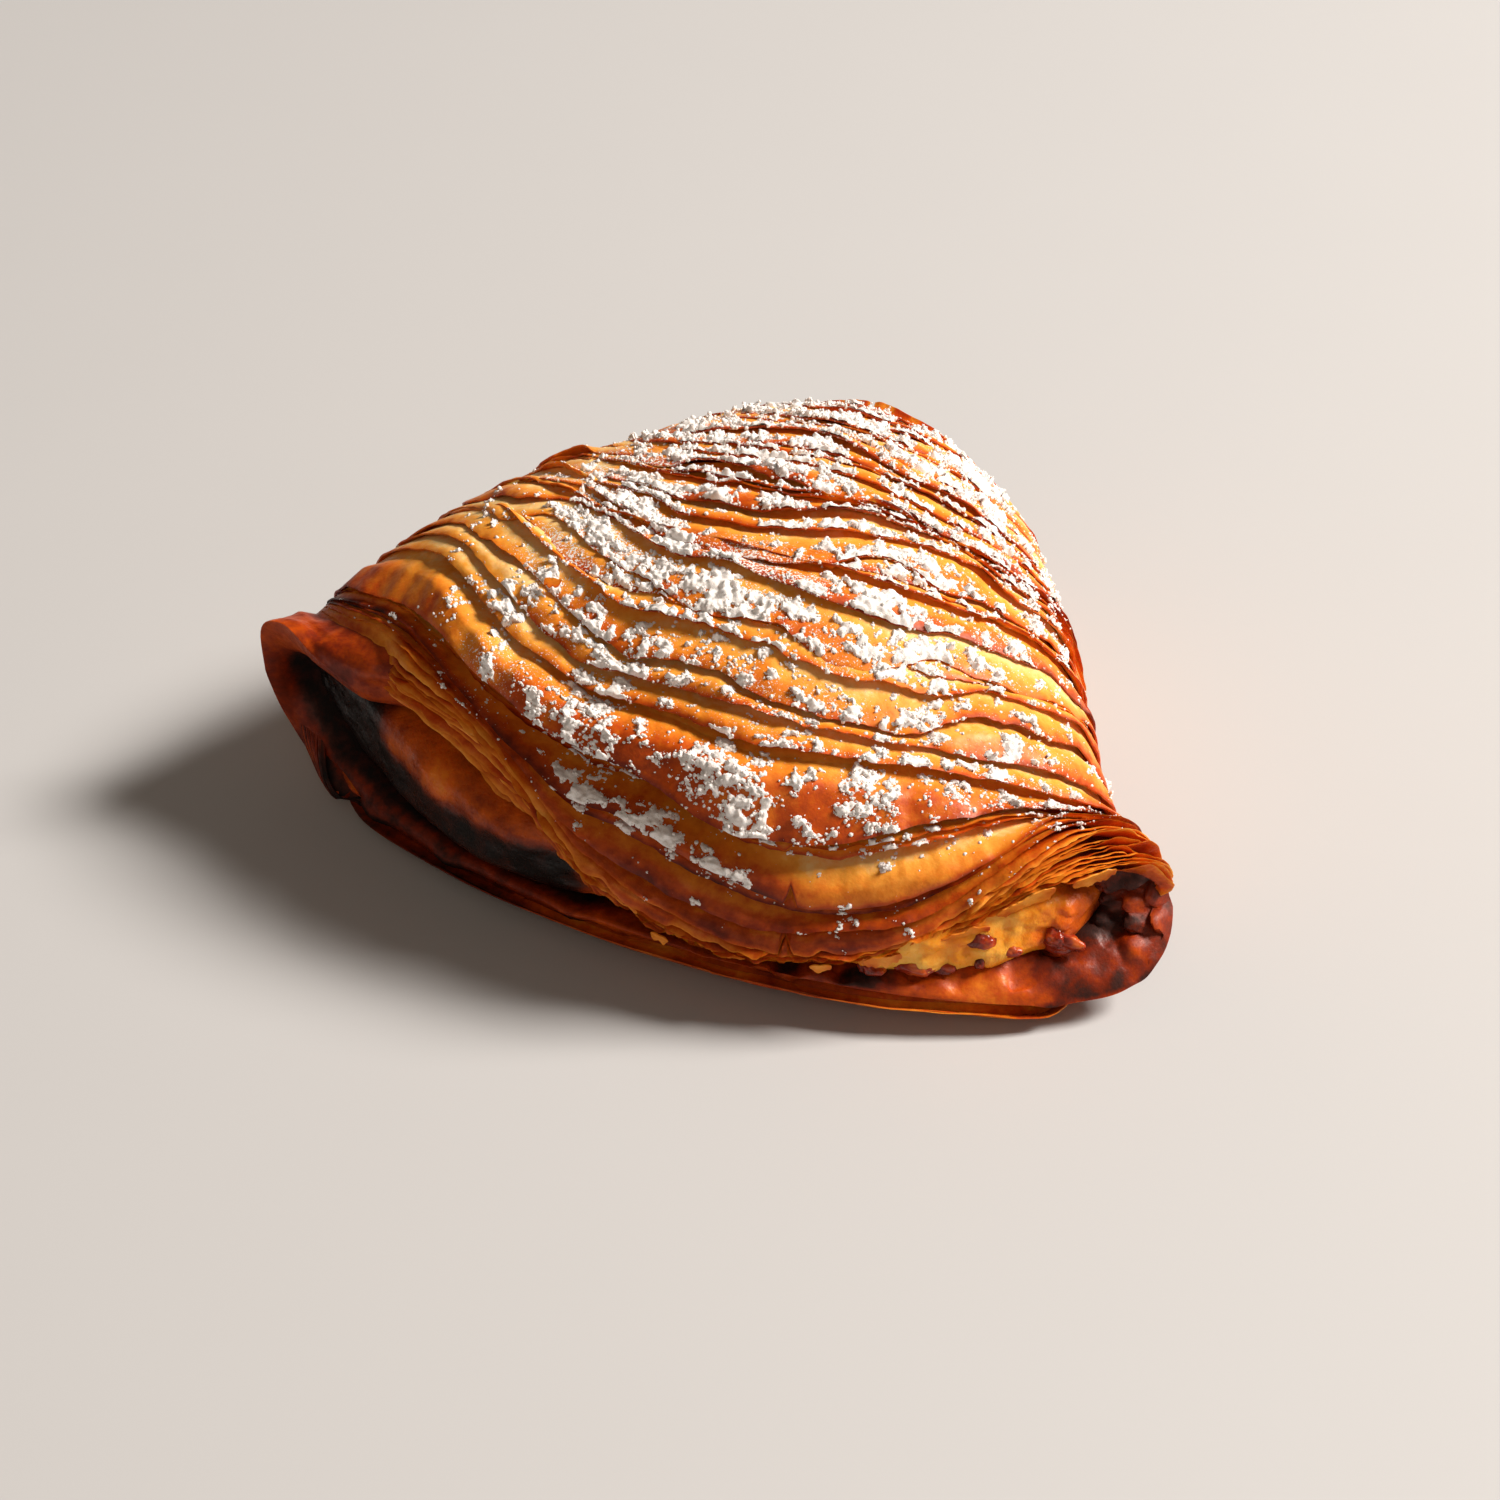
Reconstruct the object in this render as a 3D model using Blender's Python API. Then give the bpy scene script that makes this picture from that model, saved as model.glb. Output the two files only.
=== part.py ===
"""A sfogliatella riccia: a shell-shaped pastry of overlapping leaves around a filling.

The pastry lies on its flat underside.  Its mouth faces -Y and runs along X between two
open corners, the ears.  The leaves are rings about the closed end, the apex, at +Y; the
free edge of every leaf faces the mouth and stands a little proud of the next leaf.

Two pieces are made: the pastry shell, and the filling that runs through it and shows in
the two gapes of the mouth.  Lengths below are millimetres until they are built.
"""
import math

import bmesh
import bpy
import numpy as np

MM = 0.001                      # metres in a millimetre
MERGE = 0.00002                 # metres; seam and pole vertices closer than this are one

# --- sizes of the whole ---------------------------------------------------------------
CENTRE_X = -0.98                # middle of the box, measured from the line through the ears
CENTRE_Y = 24.43
RING_POINTS = 56                # points round one ring, an even number
LEAVES = 23                     # leaves from the apex to the lip
LEAF_STEP = 0.95                # how far a leaf's free edge stands above the next leaf
LIP_LEAF = 0.42                 # the same, among the thin leaves at the lip
BUNCHED = 0.35                  # the step is at most this part of the room between two leaves
RISER = 0.0035                  # how far along the body a leaf's edge takes to drop

# --- walls ----------------------------------------------------------------------------
ROOF = 5.0                      # thickness of the bundle of leaves above the filling
FLOOR = 3.2                     # below the filling
SIDE_WALL = 5.5                 # beside it
RIM = 2.0                       # at the edge of the mouth
GAP = 0.35                      # clear space between filling and shell
INNER_APEX = 0.13               # station where the hollow ends, near the apex
FILL_FRONT = 0.935              # station where the filling ends, behind the lip
FILL_BULGE = 1.6                # how far the filling swells towards the mouth

# --- the body's profiles --------------------------------------------------------------
# Stations run from 0 at the apex to 1 at the lip; every row below gives one measure at
# each of them, from the line through the ears.  Past FRONT the body turns down to its lips.
FRONT = 0.80
STATION = (0.00, 0.06, 0.16, 0.32, 0.50, 0.68, 0.82, 0.92)
CROWN_Y = (69.0, 67.0, 60.5, 46.0, 26.0, 4.5, -10.5, -17.5)
CROWN_Z = (15.0, 23.5, 32.5, 40.2, 43.3, 40.3, 29.5, 18.5)
LEFT_X = (0.0, -11.0, -21.5, -34.0, -45.5, -52.5, -56.0, -57.5)
LEFT_Y = (69.0, 65.0, 57.0, 43.0, 30.0, 18.0, 10.0, 5.5)
LEFT_Z = (13.0, 13.0, 13.0, 13.0, 14.0, 16.5, 19.0, 20.0)
RIGHT_X = (0.0, 11.0, 19.0, 28.0, 34.0, 39.5, 45.5, 51.0)
RIGHT_Y = (69.0, 66.0, 60.5, 49.5, 38.0, 26.0, 15.0, 8.5)
RIGHT_Z = (13.0, 13.0, 13.0, 13.0, 13.0, 12.5, 11.0, 10.0)
MIDDLE_X = (0.0, 0.0, 0.0, 0.0, 1.0, 3.5, 7.0, 10.0)
FULLNESS = (0.80, 0.80, 0.80, 0.80, 0.78, 0.72, 0.62, 0.55)
UNDER_Y = (69.0, 66.0, 59.0, 44.0, 26.0, 6.0, -8.5, -15.5)
UNDER_REACH = 1.22              # the underside is cut flat where its curve passes the table

# Between the front and the lips: the upper wall tucks back and down, the lower one turns up.
UPPER_TUCK = np.array((0.0, 3.0, -6.0))
LOWER_TUCK = np.array((0.0, 3.0, 4.0))
# How far the hollow keeps behind the front wall, by station.
SETBACK_AT = (0.60, 0.70, 0.82, 0.92, 1.00)
SETBACK = (0.0, 0.8, 3.5, 5.0, 0.6)

# The two lips, each from ear to ear in even turns: across, front to back, and up.
UPPER_TURN = (
    0.00, 0.05, 0.12, 0.21, 0.31, 0.42, 0.53, 0.585, 0.64, 0.74, 0.83, 0.91, 0.96, 1.00)
UPPER_X = (
    55.8, 56.4, 53.2, 46.0, 34.6, 19.9, 1.7, -9.6, -20.5, -37.7, -49.2, -55.4, -57.8, -58.0)
UPPER_Y = (
    5.5, 5.0, 2.0, -4.3, -11.6, -18.0, -19.5, -17.2, -12.9, -5.2, -1.6, 0.2, 0.8, 1.5)
UPPER_Z = (
    10.0, 14.5, 18.0, 17.8, 12.6, 8.6, 8.3, 10.4, 15.2, 20.6, 23.8, 25.4, 23.5, 17.0)
LOWER_TURN = (0.00, 0.06, 0.13, 0.25, 0.40, 0.55, 0.70, 0.82, 0.90, 0.96, 1.00)
LOWER_X = (-58.0, -57.2, -53.5, -39.2, -12.6, 15.4, 35.9, 47.8, 53.2, 55.6, 55.8)
LOWER_Y = (1.5, 3.8, 2.4, -6.0, -15.0, -17.6, -13.6, -8.0, -3.7, 0.8, 5.5)
LOWER_Z = (17.0, 8.0, 3.8, 3.0, 4.4, 5.4, 4.0, 3.0, 3.8, 6.5, 10.0)

# The leaves lie a little askew of the rings: turn from the right ear (0) over the crown to
# the left ear (1), and how far along the body the leaf edges are moved there.
SKEW_TURN = (0.00, 0.16, 0.33, 0.50, 0.62, 0.78, 1.00)
SKEW = (0.030, 0.022, 0.000, 0.000, -0.010, -0.050, -0.080)

CRUST_COLOUR = (0.56, 0.24, 0.06, 1.0)
FILLING_COLOUR = (0.78, 0.50, 0.16, 1.0)


def through(knots, values, at):
    """Smooth curve through (knot, value) pairs, read at the given places."""
    knots = np.asarray(knots, float)
    values = np.asarray(values, float)
    slopes = np.gradient(values, knots)
    at = np.clip(at, knots[0], knots[-1])
    span = np.clip(np.searchsorted(knots, at, side="right") - 1, 0, len(knots) - 2)
    width = knots[span + 1] - knots[span]
    s = (at - knots[span]) / width
    start = (2 * s**3 - 3 * s**2 + 1) * values[span]
    leave = (s**3 - 2 * s**2 + s) * width * slopes[span]
    end = (3 * s**2 - 2 * s**3) * values[span + 1]
    arrive = (s**3 - s**2) * width * slopes[span + 1]
    return start + leave + end + arrive


def ease(t):
    """Smooth step from 0 to 1."""
    t = np.clip(t, 0.0, 1.0)
    return t * t * (3.0 - 2.0 * t)


def lip_point(turns, rows, at):
    """Point of a lip, from its three rows, at a turn between its two ears."""
    return np.stack([through(turns, row, at) for row in rows], axis=-1)


def bare(station, angle):
    """Body without its lips, as two surfaces: above and below the line of the sides."""
    cosine = np.cos(angle)
    sine = np.abs(np.sin(angle))

    def at(row):
        return through(STATION, row, station)

    left = cosine < 0.0
    side_x = np.where(left, at(LEFT_X), at(RIGHT_X))
    side_y = np.where(left, at(LEFT_Y), at(RIGHT_Y))
    side_z = np.where(left, at(LEFT_Z), at(RIGHT_Z))
    x = at(MIDDLE_X) + (side_x - at(MIDDLE_X)) * np.abs(cosine)
    crown_y = side_y + (at(CROWN_Y) - side_y) * sine**1.3
    crown_z = side_z + (at(CROWN_Z) - side_z) * sine**at(FULLNESS)
    under_y = side_y + (at(UNDER_Y) - side_y) * sine**1.1
    under_z = np.maximum(0.0, side_z * (1.0 - UNDER_REACH * sine**0.6))
    above = np.stack([x, crown_y, crown_z], axis=-1)
    below = np.stack([x, under_y, under_z], axis=-1)
    return above, below


def join(start, pace, end, tuck, t):
    """Curve from start, leaving at the given pace, that tucks in as it reaches its end."""
    t = t[..., None]
    arrive = (end - start) + tuck
    return ((2 * t**3 - 3 * t**2 + 1) * start + (t**3 - 2 * t**2 + t) * pace
            + (3 * t**2 - 2 * t**3) * end + (t**3 - t**2) * arrive)


def body(station, angle):
    """Smooth body: station from apex to lip, angle from the right ear over the crown."""
    station, angle = np.broadcast_arrays(
        np.asarray(station, float), np.asarray(angle, float))
    turn = angle / math.pi
    sine = np.abs(np.sin(angle))[..., None]
    behind = np.minimum(station, FRONT)
    above, below = bare(behind, angle)
    above_back, below_back = bare(behind - 0.01, angle)
    pace = (1.0 - FRONT) / 0.01
    t = np.clip((station - FRONT) / (1.0 - FRONT), 0.0, 1.0)

    upper_lip = lip_point(UPPER_TURN, (UPPER_X, UPPER_Y, UPPER_Z), turn)
    lower_lip = lip_point(LOWER_TURN, (LOWER_X, LOWER_Y, LOWER_Z), turn - 1.0)
    upper = join(above, (above - above_back) * pace, upper_lip, UPPER_TUCK * sine, t)
    lower = join(below, (below - below_back) * pace, lower_lip, LOWER_TUCK * sine, t)
    return np.where((turn <= 1.0)[..., None], upper, lower)


def outward(station, angle):
    """Unit normal of the smooth body, pointing away from the filling."""
    reach = 0.004
    along = body(station + reach, angle) - body(station - reach, angle)
    around = body(station, angle + reach) - body(station, angle - reach)
    normal = np.cross(around, along)
    return normal / (np.linalg.norm(normal, axis=-1, keepdims=True) + 1e-9)


def leaf_edges():
    """Stations of the leaves' free edges: broad on the back, ever thinner at the lip."""
    count = np.arange(1, LEAVES + 1) / LEAVES
    uneven = 0.007 * np.sin(7.3 * np.arange(LEAVES)) * np.sin(math.pi * count)
    return 1.0 - (1.0 - count)**1.18 + uneven


def leaf_ring(station, lift, angle):
    """One ring of the outside: a leaf's foot (lift 0) or its free edge (lift 1)."""
    turn = angle / math.pi
    over = np.where(turn <= 1.0, turn, 2.0 - turn)
    askew = through(SKEW_TURN, SKEW, over) * math.sin(math.pi * station)
    fade = np.where(turn <= 1.0, 1.0, 0.0)
    moved = np.clip(station + askew * fade, 0.004, 0.996)
    step = LEAF_STEP + (LIP_LEAF - LEAF_STEP) * ease((station - 0.72) / 0.25)
    spread = np.linalg.norm(body(moved + 0.02, angle) - body(moved - 0.02, angle), axis=-1)
    step = np.minimum(step, BUNCHED * spread)
    return body(moved, angle) + outward(moved, angle) * (step * lift * fade)[..., None]


def hollow(station, angle, clearance=0.0, height=1.0):
    """Inside of the shell; the filling is the same form with some clearance."""
    cosine = np.cos(angle)
    mouth = ease((station - 0.86) / 0.14)
    side = SIDE_WALL + (RIM - SIDE_WALL) * mouth + clearance
    half_width = np.where(
        cosine < 0.0,
        through(STATION, MIDDLE_X, station) - through(STATION, LEFT_X, station),
        through(STATION, RIGHT_X, station) - through(STATION, MIDDLE_X, station))
    inner = np.arccos(cosine * (1.0 - side / half_width))
    upper = body(station, inner)
    lower = body(station, 2.0 * math.pi - inner)
    middle = 0.5 * (upper + lower)
    reach = np.linalg.norm(upper - middle, axis=-1)
    above = angle <= math.pi
    wall = np.where(above, ROOF, FLOOR)
    wall = wall + (RIM - wall) * mouth + clearance
    keep = np.maximum(0.35, 1.0 - wall / reach)
    swell = np.sqrt(np.abs(np.sin(angle)))
    toward = np.where(above[..., None], upper - middle, lower - middle)
    point = middle + toward * (keep * swell * height)[..., None]
    point[..., 1] += through(SETBACK_AT, SETBACK, station)
    return point


def loft(name, rings, colour, roughness):
    """Closed body through rings of points; ends that shrink to a point or a line are closed."""
    columns = RING_POINTS + 1
    bm = bmesh.new()
    bmesh.ops.create_grid(
        bm, x_segments=RING_POINTS, y_segments=len(rings) - 1, size=1.0)
    for vert in bm.verts:
        column = round((vert.co.x + 1.0) * 0.5 * RING_POINTS) % RING_POINTS
        row = round((vert.co.y + 1.0) * 0.5 * (len(rings) - 1))
        x, y, z = rings[row][column]
        vert.co = ((x - CENTRE_X) * MM, (y - CENTRE_Y) * MM, z * MM)
    bmesh.ops.remove_doubles(bm, verts=bm.verts, dist=MERGE)
    bmesh.ops.dissolve_degenerate(bm, edges=bm.edges, dist=MERGE)
    bmesh.ops.triangulate(bm, faces=bm.faces)
    bmesh.ops.recalc_face_normals(bm, faces=bm.faces)

    mesh = bpy.data.meshes.new(name)
    bm.to_mesh(mesh)
    bm.free()
    piece = bpy.data.objects.new(name, mesh)
    material = bpy.data.materials.new(name)
    material.use_nodes = True
    shader = material.node_tree.nodes["Principled BSDF"]
    shader.inputs["Base Color"].default_value = colour
    shader.inputs["Roughness"].default_value = roughness
    shader.inputs["Metallic"].default_value = 0.0
    mesh.materials.append(material)
    return piece


def ring_angles():
    """Angles of the points of one ring, from the right ear over the crown and back."""
    return np.arange(RING_POINTS) * 2.0 * math.pi / RING_POINTS


def pole(ring):
    """A ring shrunk to its middle point."""
    return np.broadcast_to(ring.mean(axis=0), ring.shape)


def shell_rings():
    """Rings of the shell: the leaves outside, the rim of the mouth, then the hollow."""
    angle = ring_angles()
    rings = [pole(body(0.0, angle))]
    foot = 0.022
    for edge in leaf_edges():
        last = edge > 0.999
        tip = 0.988 if last else edge
        rings.append(leaf_ring(foot, 0.0, angle))
        rings.append(leaf_ring(tip, 1.0, angle))
        foot = edge + RISER
    rings.append(body(1.0, angle))
    for station in np.linspace(1.0, INNER_APEX, 15):
        rings.append(hollow(station, angle))
    rings.append(pole(hollow(INNER_APEX, angle)))
    return rings


def filling_rings():
    """Rings of the filling, from the end of the hollow to the swollen front in the mouth."""
    angle = ring_angles()
    deep = INNER_APEX + 0.012
    rings = [pole(hollow(deep, angle, GAP))]
    for station in np.linspace(deep, FILL_FRONT, 14):
        rings.append(hollow(station, angle, GAP))
    for height in (0.55, 0.0):
        ring = hollow(FILL_FRONT, angle, GAP, height)
        ring[..., 1] -= FILL_BULGE * (1.0 - height)
        rings.append(ring)
    return rings


def main():
    """Clear the scene and build the two pieces."""
    for thing in list(bpy.data.objects):
        bpy.data.objects.remove(thing, do_unlink=True)
    pieces = bpy.data.collections.new("sfogliatella")
    bpy.context.scene.collection.children.link(pieces)
    pieces.objects.link(loft("pastry_shell", shell_rings(), CRUST_COLOUR, 0.55))
    pieces.objects.link(loft("filling", filling_rings(), FILLING_COLOUR, 0.45))


main()
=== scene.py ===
"""Dresses a packed sfogliatella riccia: a shell-shaped pastry of crisp leaves.

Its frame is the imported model: two solids, the pastry shell and the filling in it.  The
shell is replaced by a core with many thin leaves on it, each a ring about the closed end
with its free edge towards the mouth.  The filling is replaced by a lumpy one.  Candied
peel, scorched blisters, torn flakes, powdered sugar and crumbs come on top.

Lengths are millimetres until a mesh is written, in the frame's own axes: the mouth faces
-Y, the two open corners of the mouth, the ears, lie along X, and +Z is up.
"""

import logging
import math
from dataclasses import dataclass, field
from enum import Enum

import bmesh
import bpy
import numpy as np
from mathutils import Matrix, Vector

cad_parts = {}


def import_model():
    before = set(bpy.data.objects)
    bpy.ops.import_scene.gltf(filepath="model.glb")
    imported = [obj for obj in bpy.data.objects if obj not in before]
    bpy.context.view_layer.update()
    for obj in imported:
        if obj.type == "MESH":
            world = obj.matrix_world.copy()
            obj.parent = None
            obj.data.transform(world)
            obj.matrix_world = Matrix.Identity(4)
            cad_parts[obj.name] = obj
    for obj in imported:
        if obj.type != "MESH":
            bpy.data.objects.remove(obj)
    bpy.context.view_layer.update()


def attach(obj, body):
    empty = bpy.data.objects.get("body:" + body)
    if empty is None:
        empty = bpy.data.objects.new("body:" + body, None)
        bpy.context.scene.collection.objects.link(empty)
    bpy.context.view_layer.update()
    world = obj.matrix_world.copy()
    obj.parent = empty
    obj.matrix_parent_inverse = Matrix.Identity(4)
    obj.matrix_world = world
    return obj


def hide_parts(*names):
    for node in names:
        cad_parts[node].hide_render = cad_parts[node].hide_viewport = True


MM = 0.001
LOG = logging.getLogger("sfogliatella")
Array = np.ndarray


# --------------------------------------------------------------------------------------
# Curves and noise
# --------------------------------------------------------------------------------------

def through(knots: tuple, values: tuple, at: Array) -> Array:
    """Smooth curve through (knot, value) pairs.

    Args:
        knots: rising places.
        values: the value at each knot.
        at: the places to read the curve at.

    Returns:
        The curve's value at each place.
    """
    knots = np.asarray(knots, float)
    values = np.asarray(values, float)
    slopes = np.gradient(values, knots)
    at = np.clip(at, knots[0], knots[-1])
    span = np.clip(np.searchsorted(knots, at, side="right") - 1, 0, len(knots) - 2)
    width = knots[span + 1] - knots[span]
    s = (at - knots[span]) / width
    start = (2 * s**3 - 3 * s**2 + 1) * values[span]
    leave = (s**3 - 2 * s**2 + s) * width * slopes[span]
    end = (3 * s**2 - 2 * s**3) * values[span + 1]
    arrive = (s**3 - s**2) * width * slopes[span + 1]
    return start + leave + end + arrive


def ease(t: Array) -> Array:
    """Smooth step from 0 to 1."""
    t = np.clip(t, 0.0, 1.0)
    return t * t * (3.0 - 2.0 * t)


def hump(x: Array, middle: float, half: float) -> Array:
    """Smooth bump of height 1 around a middle, 1/e high at the half width."""
    return np.exp(-((x - middle) / half) ** 2)


class Noise:
    """Smooth random values in space, the same on every run."""

    SIDE = 64

    def __init__(self, seed: int) -> None:
        """Fill the lattice from a seed."""
        maker = np.random.default_rng(seed)
        self.table = maker.uniform(-1.0, 1.0, (self.SIDE,) * 3)

    def at(self, points: Array, size: float) -> Array:
        """Noise of one size.

        Args:
            points: places in millimetres, three numbers each.
            size: how far apart its lumps are, in millimetres.

        Returns:
            A value from -1 to 1 for each point.
        """
        p = points / size
        cell = np.floor(p).astype(int)
        f = p - cell
        f = f * f * (3.0 - 2.0 * f)
        low = cell % self.SIDE
        high = (cell + 1) % self.SIDE
        total = 0.0
        for ix, wx in ((low[..., 0], 1.0 - f[..., 0]), (high[..., 0], f[..., 0])):
            for iy, wy in ((low[..., 1], 1.0 - f[..., 1]), (high[..., 1], f[..., 1])):
                for iz, wz in ((low[..., 2], 1.0 - f[..., 2]), (high[..., 2], f[..., 2])):
                    total = total + self.table[ix, iy, iz] * wx * wy * wz
        return total

    def balls(self, points: Array, size: float) -> tuple[Array, Array]:
        """Nearest of many scattered balls.

        Args:
            points: places in millimetres, three numbers each.
            size: the spacing of the balls' centres in millimetres.

        Returns:
            The distance to the nearest centre, in spacings, and that ball's own random
            number from -1 to 1.
        """
        p = points / size
        corner = np.floor(p - 0.5).astype(int)
        nearest = np.full(p.shape[:-1], 9.0)
        own = np.zeros_like(nearest)
        for step in np.ndindex(2, 2, 2):
            cell = corner + np.array(step)
            at = tuple((cell % self.SIDE)[..., axis] for axis in range(3))
            shift = np.stack([self.table[at], self.table[at[::-1]], self.table[at[1:] + at[:1]]],
                             axis=-1)
            far = np.linalg.norm(cell + 0.5 + 0.33 * shift - p, axis=-1)
            closer = far < nearest
            nearest = np.where(closer, far, nearest)
            own = np.where(closer, self.table[at[2:] + at[:2]], own)
        return nearest, own

    def layers(self, points: Array, size: float, count: int, keep: float = 0.5) -> Array:
        """Sum of noises, each half the size of the last and weaker by the given share."""
        total = 0.0
        share = 1.0
        for layer in range(count):
            total = total + share * self.at(points + 17.3 * layer, size / 2**layer)
            share *= keep
        return total


# --------------------------------------------------------------------------------------
# The body that everything lies on
# --------------------------------------------------------------------------------------

@dataclass(frozen=True)
class Form:
    """Smooth body of the pastry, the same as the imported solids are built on.

    A place on it is a station, from 0 at the apex to 1 at the lip, and an angle, from 0 at
    the right ear over the crown to pi at the left ear, and back underneath.
    """

    centre: tuple = (-0.98, 24.43, 0.0)
    front: float = 0.80
    station: tuple = (0.00, 0.06, 0.16, 0.32, 0.50, 0.68, 0.82, 0.92)
    crown_y: tuple = (69.0, 67.0, 60.5, 46.0, 26.0, 4.5, -10.5, -17.5)
    crown_z: tuple = (15.0, 23.5, 32.5, 40.2, 43.3, 40.3, 29.5, 18.5)
    left_x: tuple = (0.0, -11.0, -21.5, -34.0, -45.5, -52.5, -56.0, -57.5)
    left_y: tuple = (69.0, 65.0, 57.0, 43.0, 30.0, 18.0, 10.0, 5.5)
    left_z: tuple = (13.0, 13.0, 13.0, 13.0, 14.0, 16.5, 19.0, 20.0)
    right_x: tuple = (0.0, 11.0, 19.0, 28.0, 34.0, 39.5, 45.5, 51.0)
    right_y: tuple = (69.0, 66.0, 60.5, 49.5, 38.0, 26.0, 15.0, 8.5)
    right_z: tuple = (13.0, 13.0, 13.0, 13.0, 13.0, 12.5, 11.0, 10.0)
    middle_x: tuple = (0.0, 0.0, 0.0, 0.0, 1.0, 3.5, 7.0, 10.0)
    fullness: tuple = (0.80, 0.80, 0.80, 0.80, 0.78, 0.72, 0.62, 0.55)
    under_y: tuple = (69.0, 66.0, 59.0, 44.0, 26.0, 6.0, -8.5, -15.5)
    under_reach: float = 1.22
    upper_tuck: tuple = (0.0, 3.0, -6.0)
    lower_tuck: tuple = (0.0, 3.0, 4.0)
    upper_turn: tuple = (
        0.00, 0.05, 0.12, 0.21, 0.31, 0.42, 0.53, 0.585, 0.64, 0.74, 0.83, 0.91, 0.96, 1.00)
    upper_x: tuple = (
        55.8, 56.4, 53.2, 46.0, 34.6, 19.9, 1.7, -9.6, -20.5, -37.7, -49.2, -55.4, -57.8, -58.0)
    upper_y: tuple = (
        5.5, 5.0, 2.0, -4.3, -11.6, -18.0, -19.5, -17.2, -12.9, -5.2, -1.6, 0.2, 0.8, 1.5)
    upper_z: tuple = (
        10.0, 14.5, 18.0, 17.8, 12.6, 8.6, 8.3, 10.4, 15.2, 20.6, 23.8, 25.4, 23.5, 17.0)
    lower_turn: tuple = (0.00, 0.06, 0.13, 0.25, 0.40, 0.55, 0.70, 0.82, 0.90, 0.96, 1.00)
    lower_x: tuple = (
        -58.0, -57.2, -53.5, -39.2, -12.6, 15.4, 35.9, 47.8, 53.2, 55.6, 55.8)
    lower_y: tuple = (1.5, 3.8, 2.4, -6.0, -15.0, -17.6, -13.6, -8.0, -3.7, 0.8, 5.5)
    lower_z: tuple = (17.0, 8.0, 3.8, 3.0, 4.4, 5.4, 4.0, 3.0, 3.8, 6.5, 10.0)
    roof: float = 5.0
    floor: float = 3.2
    side_wall: float = 5.5
    rim: float = 2.0
    setback_at: tuple = (0.60, 0.70, 0.82, 0.92, 1.00)
    setback: tuple = (0.0, 0.8, 3.5, 5.0, 0.6)

    def bare(self, station: Array, angle: Array) -> tuple[Array, Array]:
        """Body without its lips: the surface above the line of the sides and the one below."""
        cosine = np.cos(angle)
        sine = np.abs(np.sin(angle))
        left = cosine < 0.0

        def at(row: tuple) -> Array:
            """One measure at the stations asked for."""
            return through(self.station, row, station)

        side_x = np.where(left, at(self.left_x), at(self.right_x))
        side_y = np.where(left, at(self.left_y), at(self.right_y))
        side_z = np.where(left, at(self.left_z), at(self.right_z))
        x = at(self.middle_x) + (side_x - at(self.middle_x)) * np.abs(cosine)
        crown_y = side_y + (at(self.crown_y) - side_y) * sine**1.3
        crown_z = side_z + (at(self.crown_z) - side_z) * sine ** at(self.fullness)
        under_y = side_y + (at(self.under_y) - side_y) * sine**1.1
        under_z = np.maximum(0.0, side_z * (1.0 - self.under_reach * sine**0.6))
        above = np.stack([x, crown_y, crown_z], axis=-1)
        below = np.stack([x, under_y, under_z], axis=-1)
        return above, below

    @staticmethod
    def join(start: Array, pace: Array, end: Array, tuck: Array, t: Array) -> Array:
        """Curve from start, leaving at the given pace, that tucks in towards its end."""
        t = t[..., None]
        arrive = (end - start) + tuck
        return ((2 * t**3 - 3 * t**2 + 1) * start + (t**3 - 2 * t**2 + t) * pace
                + (3 * t**2 - 2 * t**3) * end + (t**3 - t**2) * arrive)

    def body(self, station: Array, angle: Array) -> Array:
        """Points of the smooth body.

        Args:
            station: from 0 at the apex to 1 at the lip.
            angle: in radians, from the right ear over the crown.

        Returns:
            Points in millimetres in the frame's axes.
        """
        station, angle = np.broadcast_arrays(
            np.asarray(station, float), np.asarray(angle, float))
        angle = np.mod(angle, 2.0 * math.pi)
        turn = angle / math.pi
        sine = np.abs(np.sin(angle))[..., None]
        behind = np.minimum(station, self.front)
        above, below = self.bare(behind, angle)
        above_back, below_back = self.bare(behind - 0.01, angle)
        pace = (1.0 - self.front) / 0.01
        t = np.clip((station - self.front) / (1.0 - self.front), 0.0, 1.0)
        upper_lip = np.stack([through(self.upper_turn, row, turn) for row in (
            self.upper_x, self.upper_y, self.upper_z)], axis=-1)
        lower_lip = np.stack([through(self.lower_turn, row, turn - 1.0) for row in (
            self.lower_x, self.lower_y, self.lower_z)], axis=-1)
        upper = self.join(above, (above - above_back) * pace, upper_lip,
                          np.array(self.upper_tuck) * sine, t)
        lower = self.join(below, (below - below_back) * pace, lower_lip,
                          np.array(self.lower_tuck) * sine, t)
        return np.where((turn <= 1.0)[..., None], upper, lower) - np.array(self.centre)

    def outward(self, station: Array, angle: Array) -> Array:
        """Unit normal of the smooth body, pointing away from the filling."""
        reach = 0.006
        along = self.body(station + reach, angle) - self.body(station - reach, angle)
        around = self.body(station, angle + reach) - self.body(station, angle - reach)
        normal = np.cross(around, along)
        return normal / (np.linalg.norm(normal, axis=-1, keepdims=True) + 1e-9)

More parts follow.
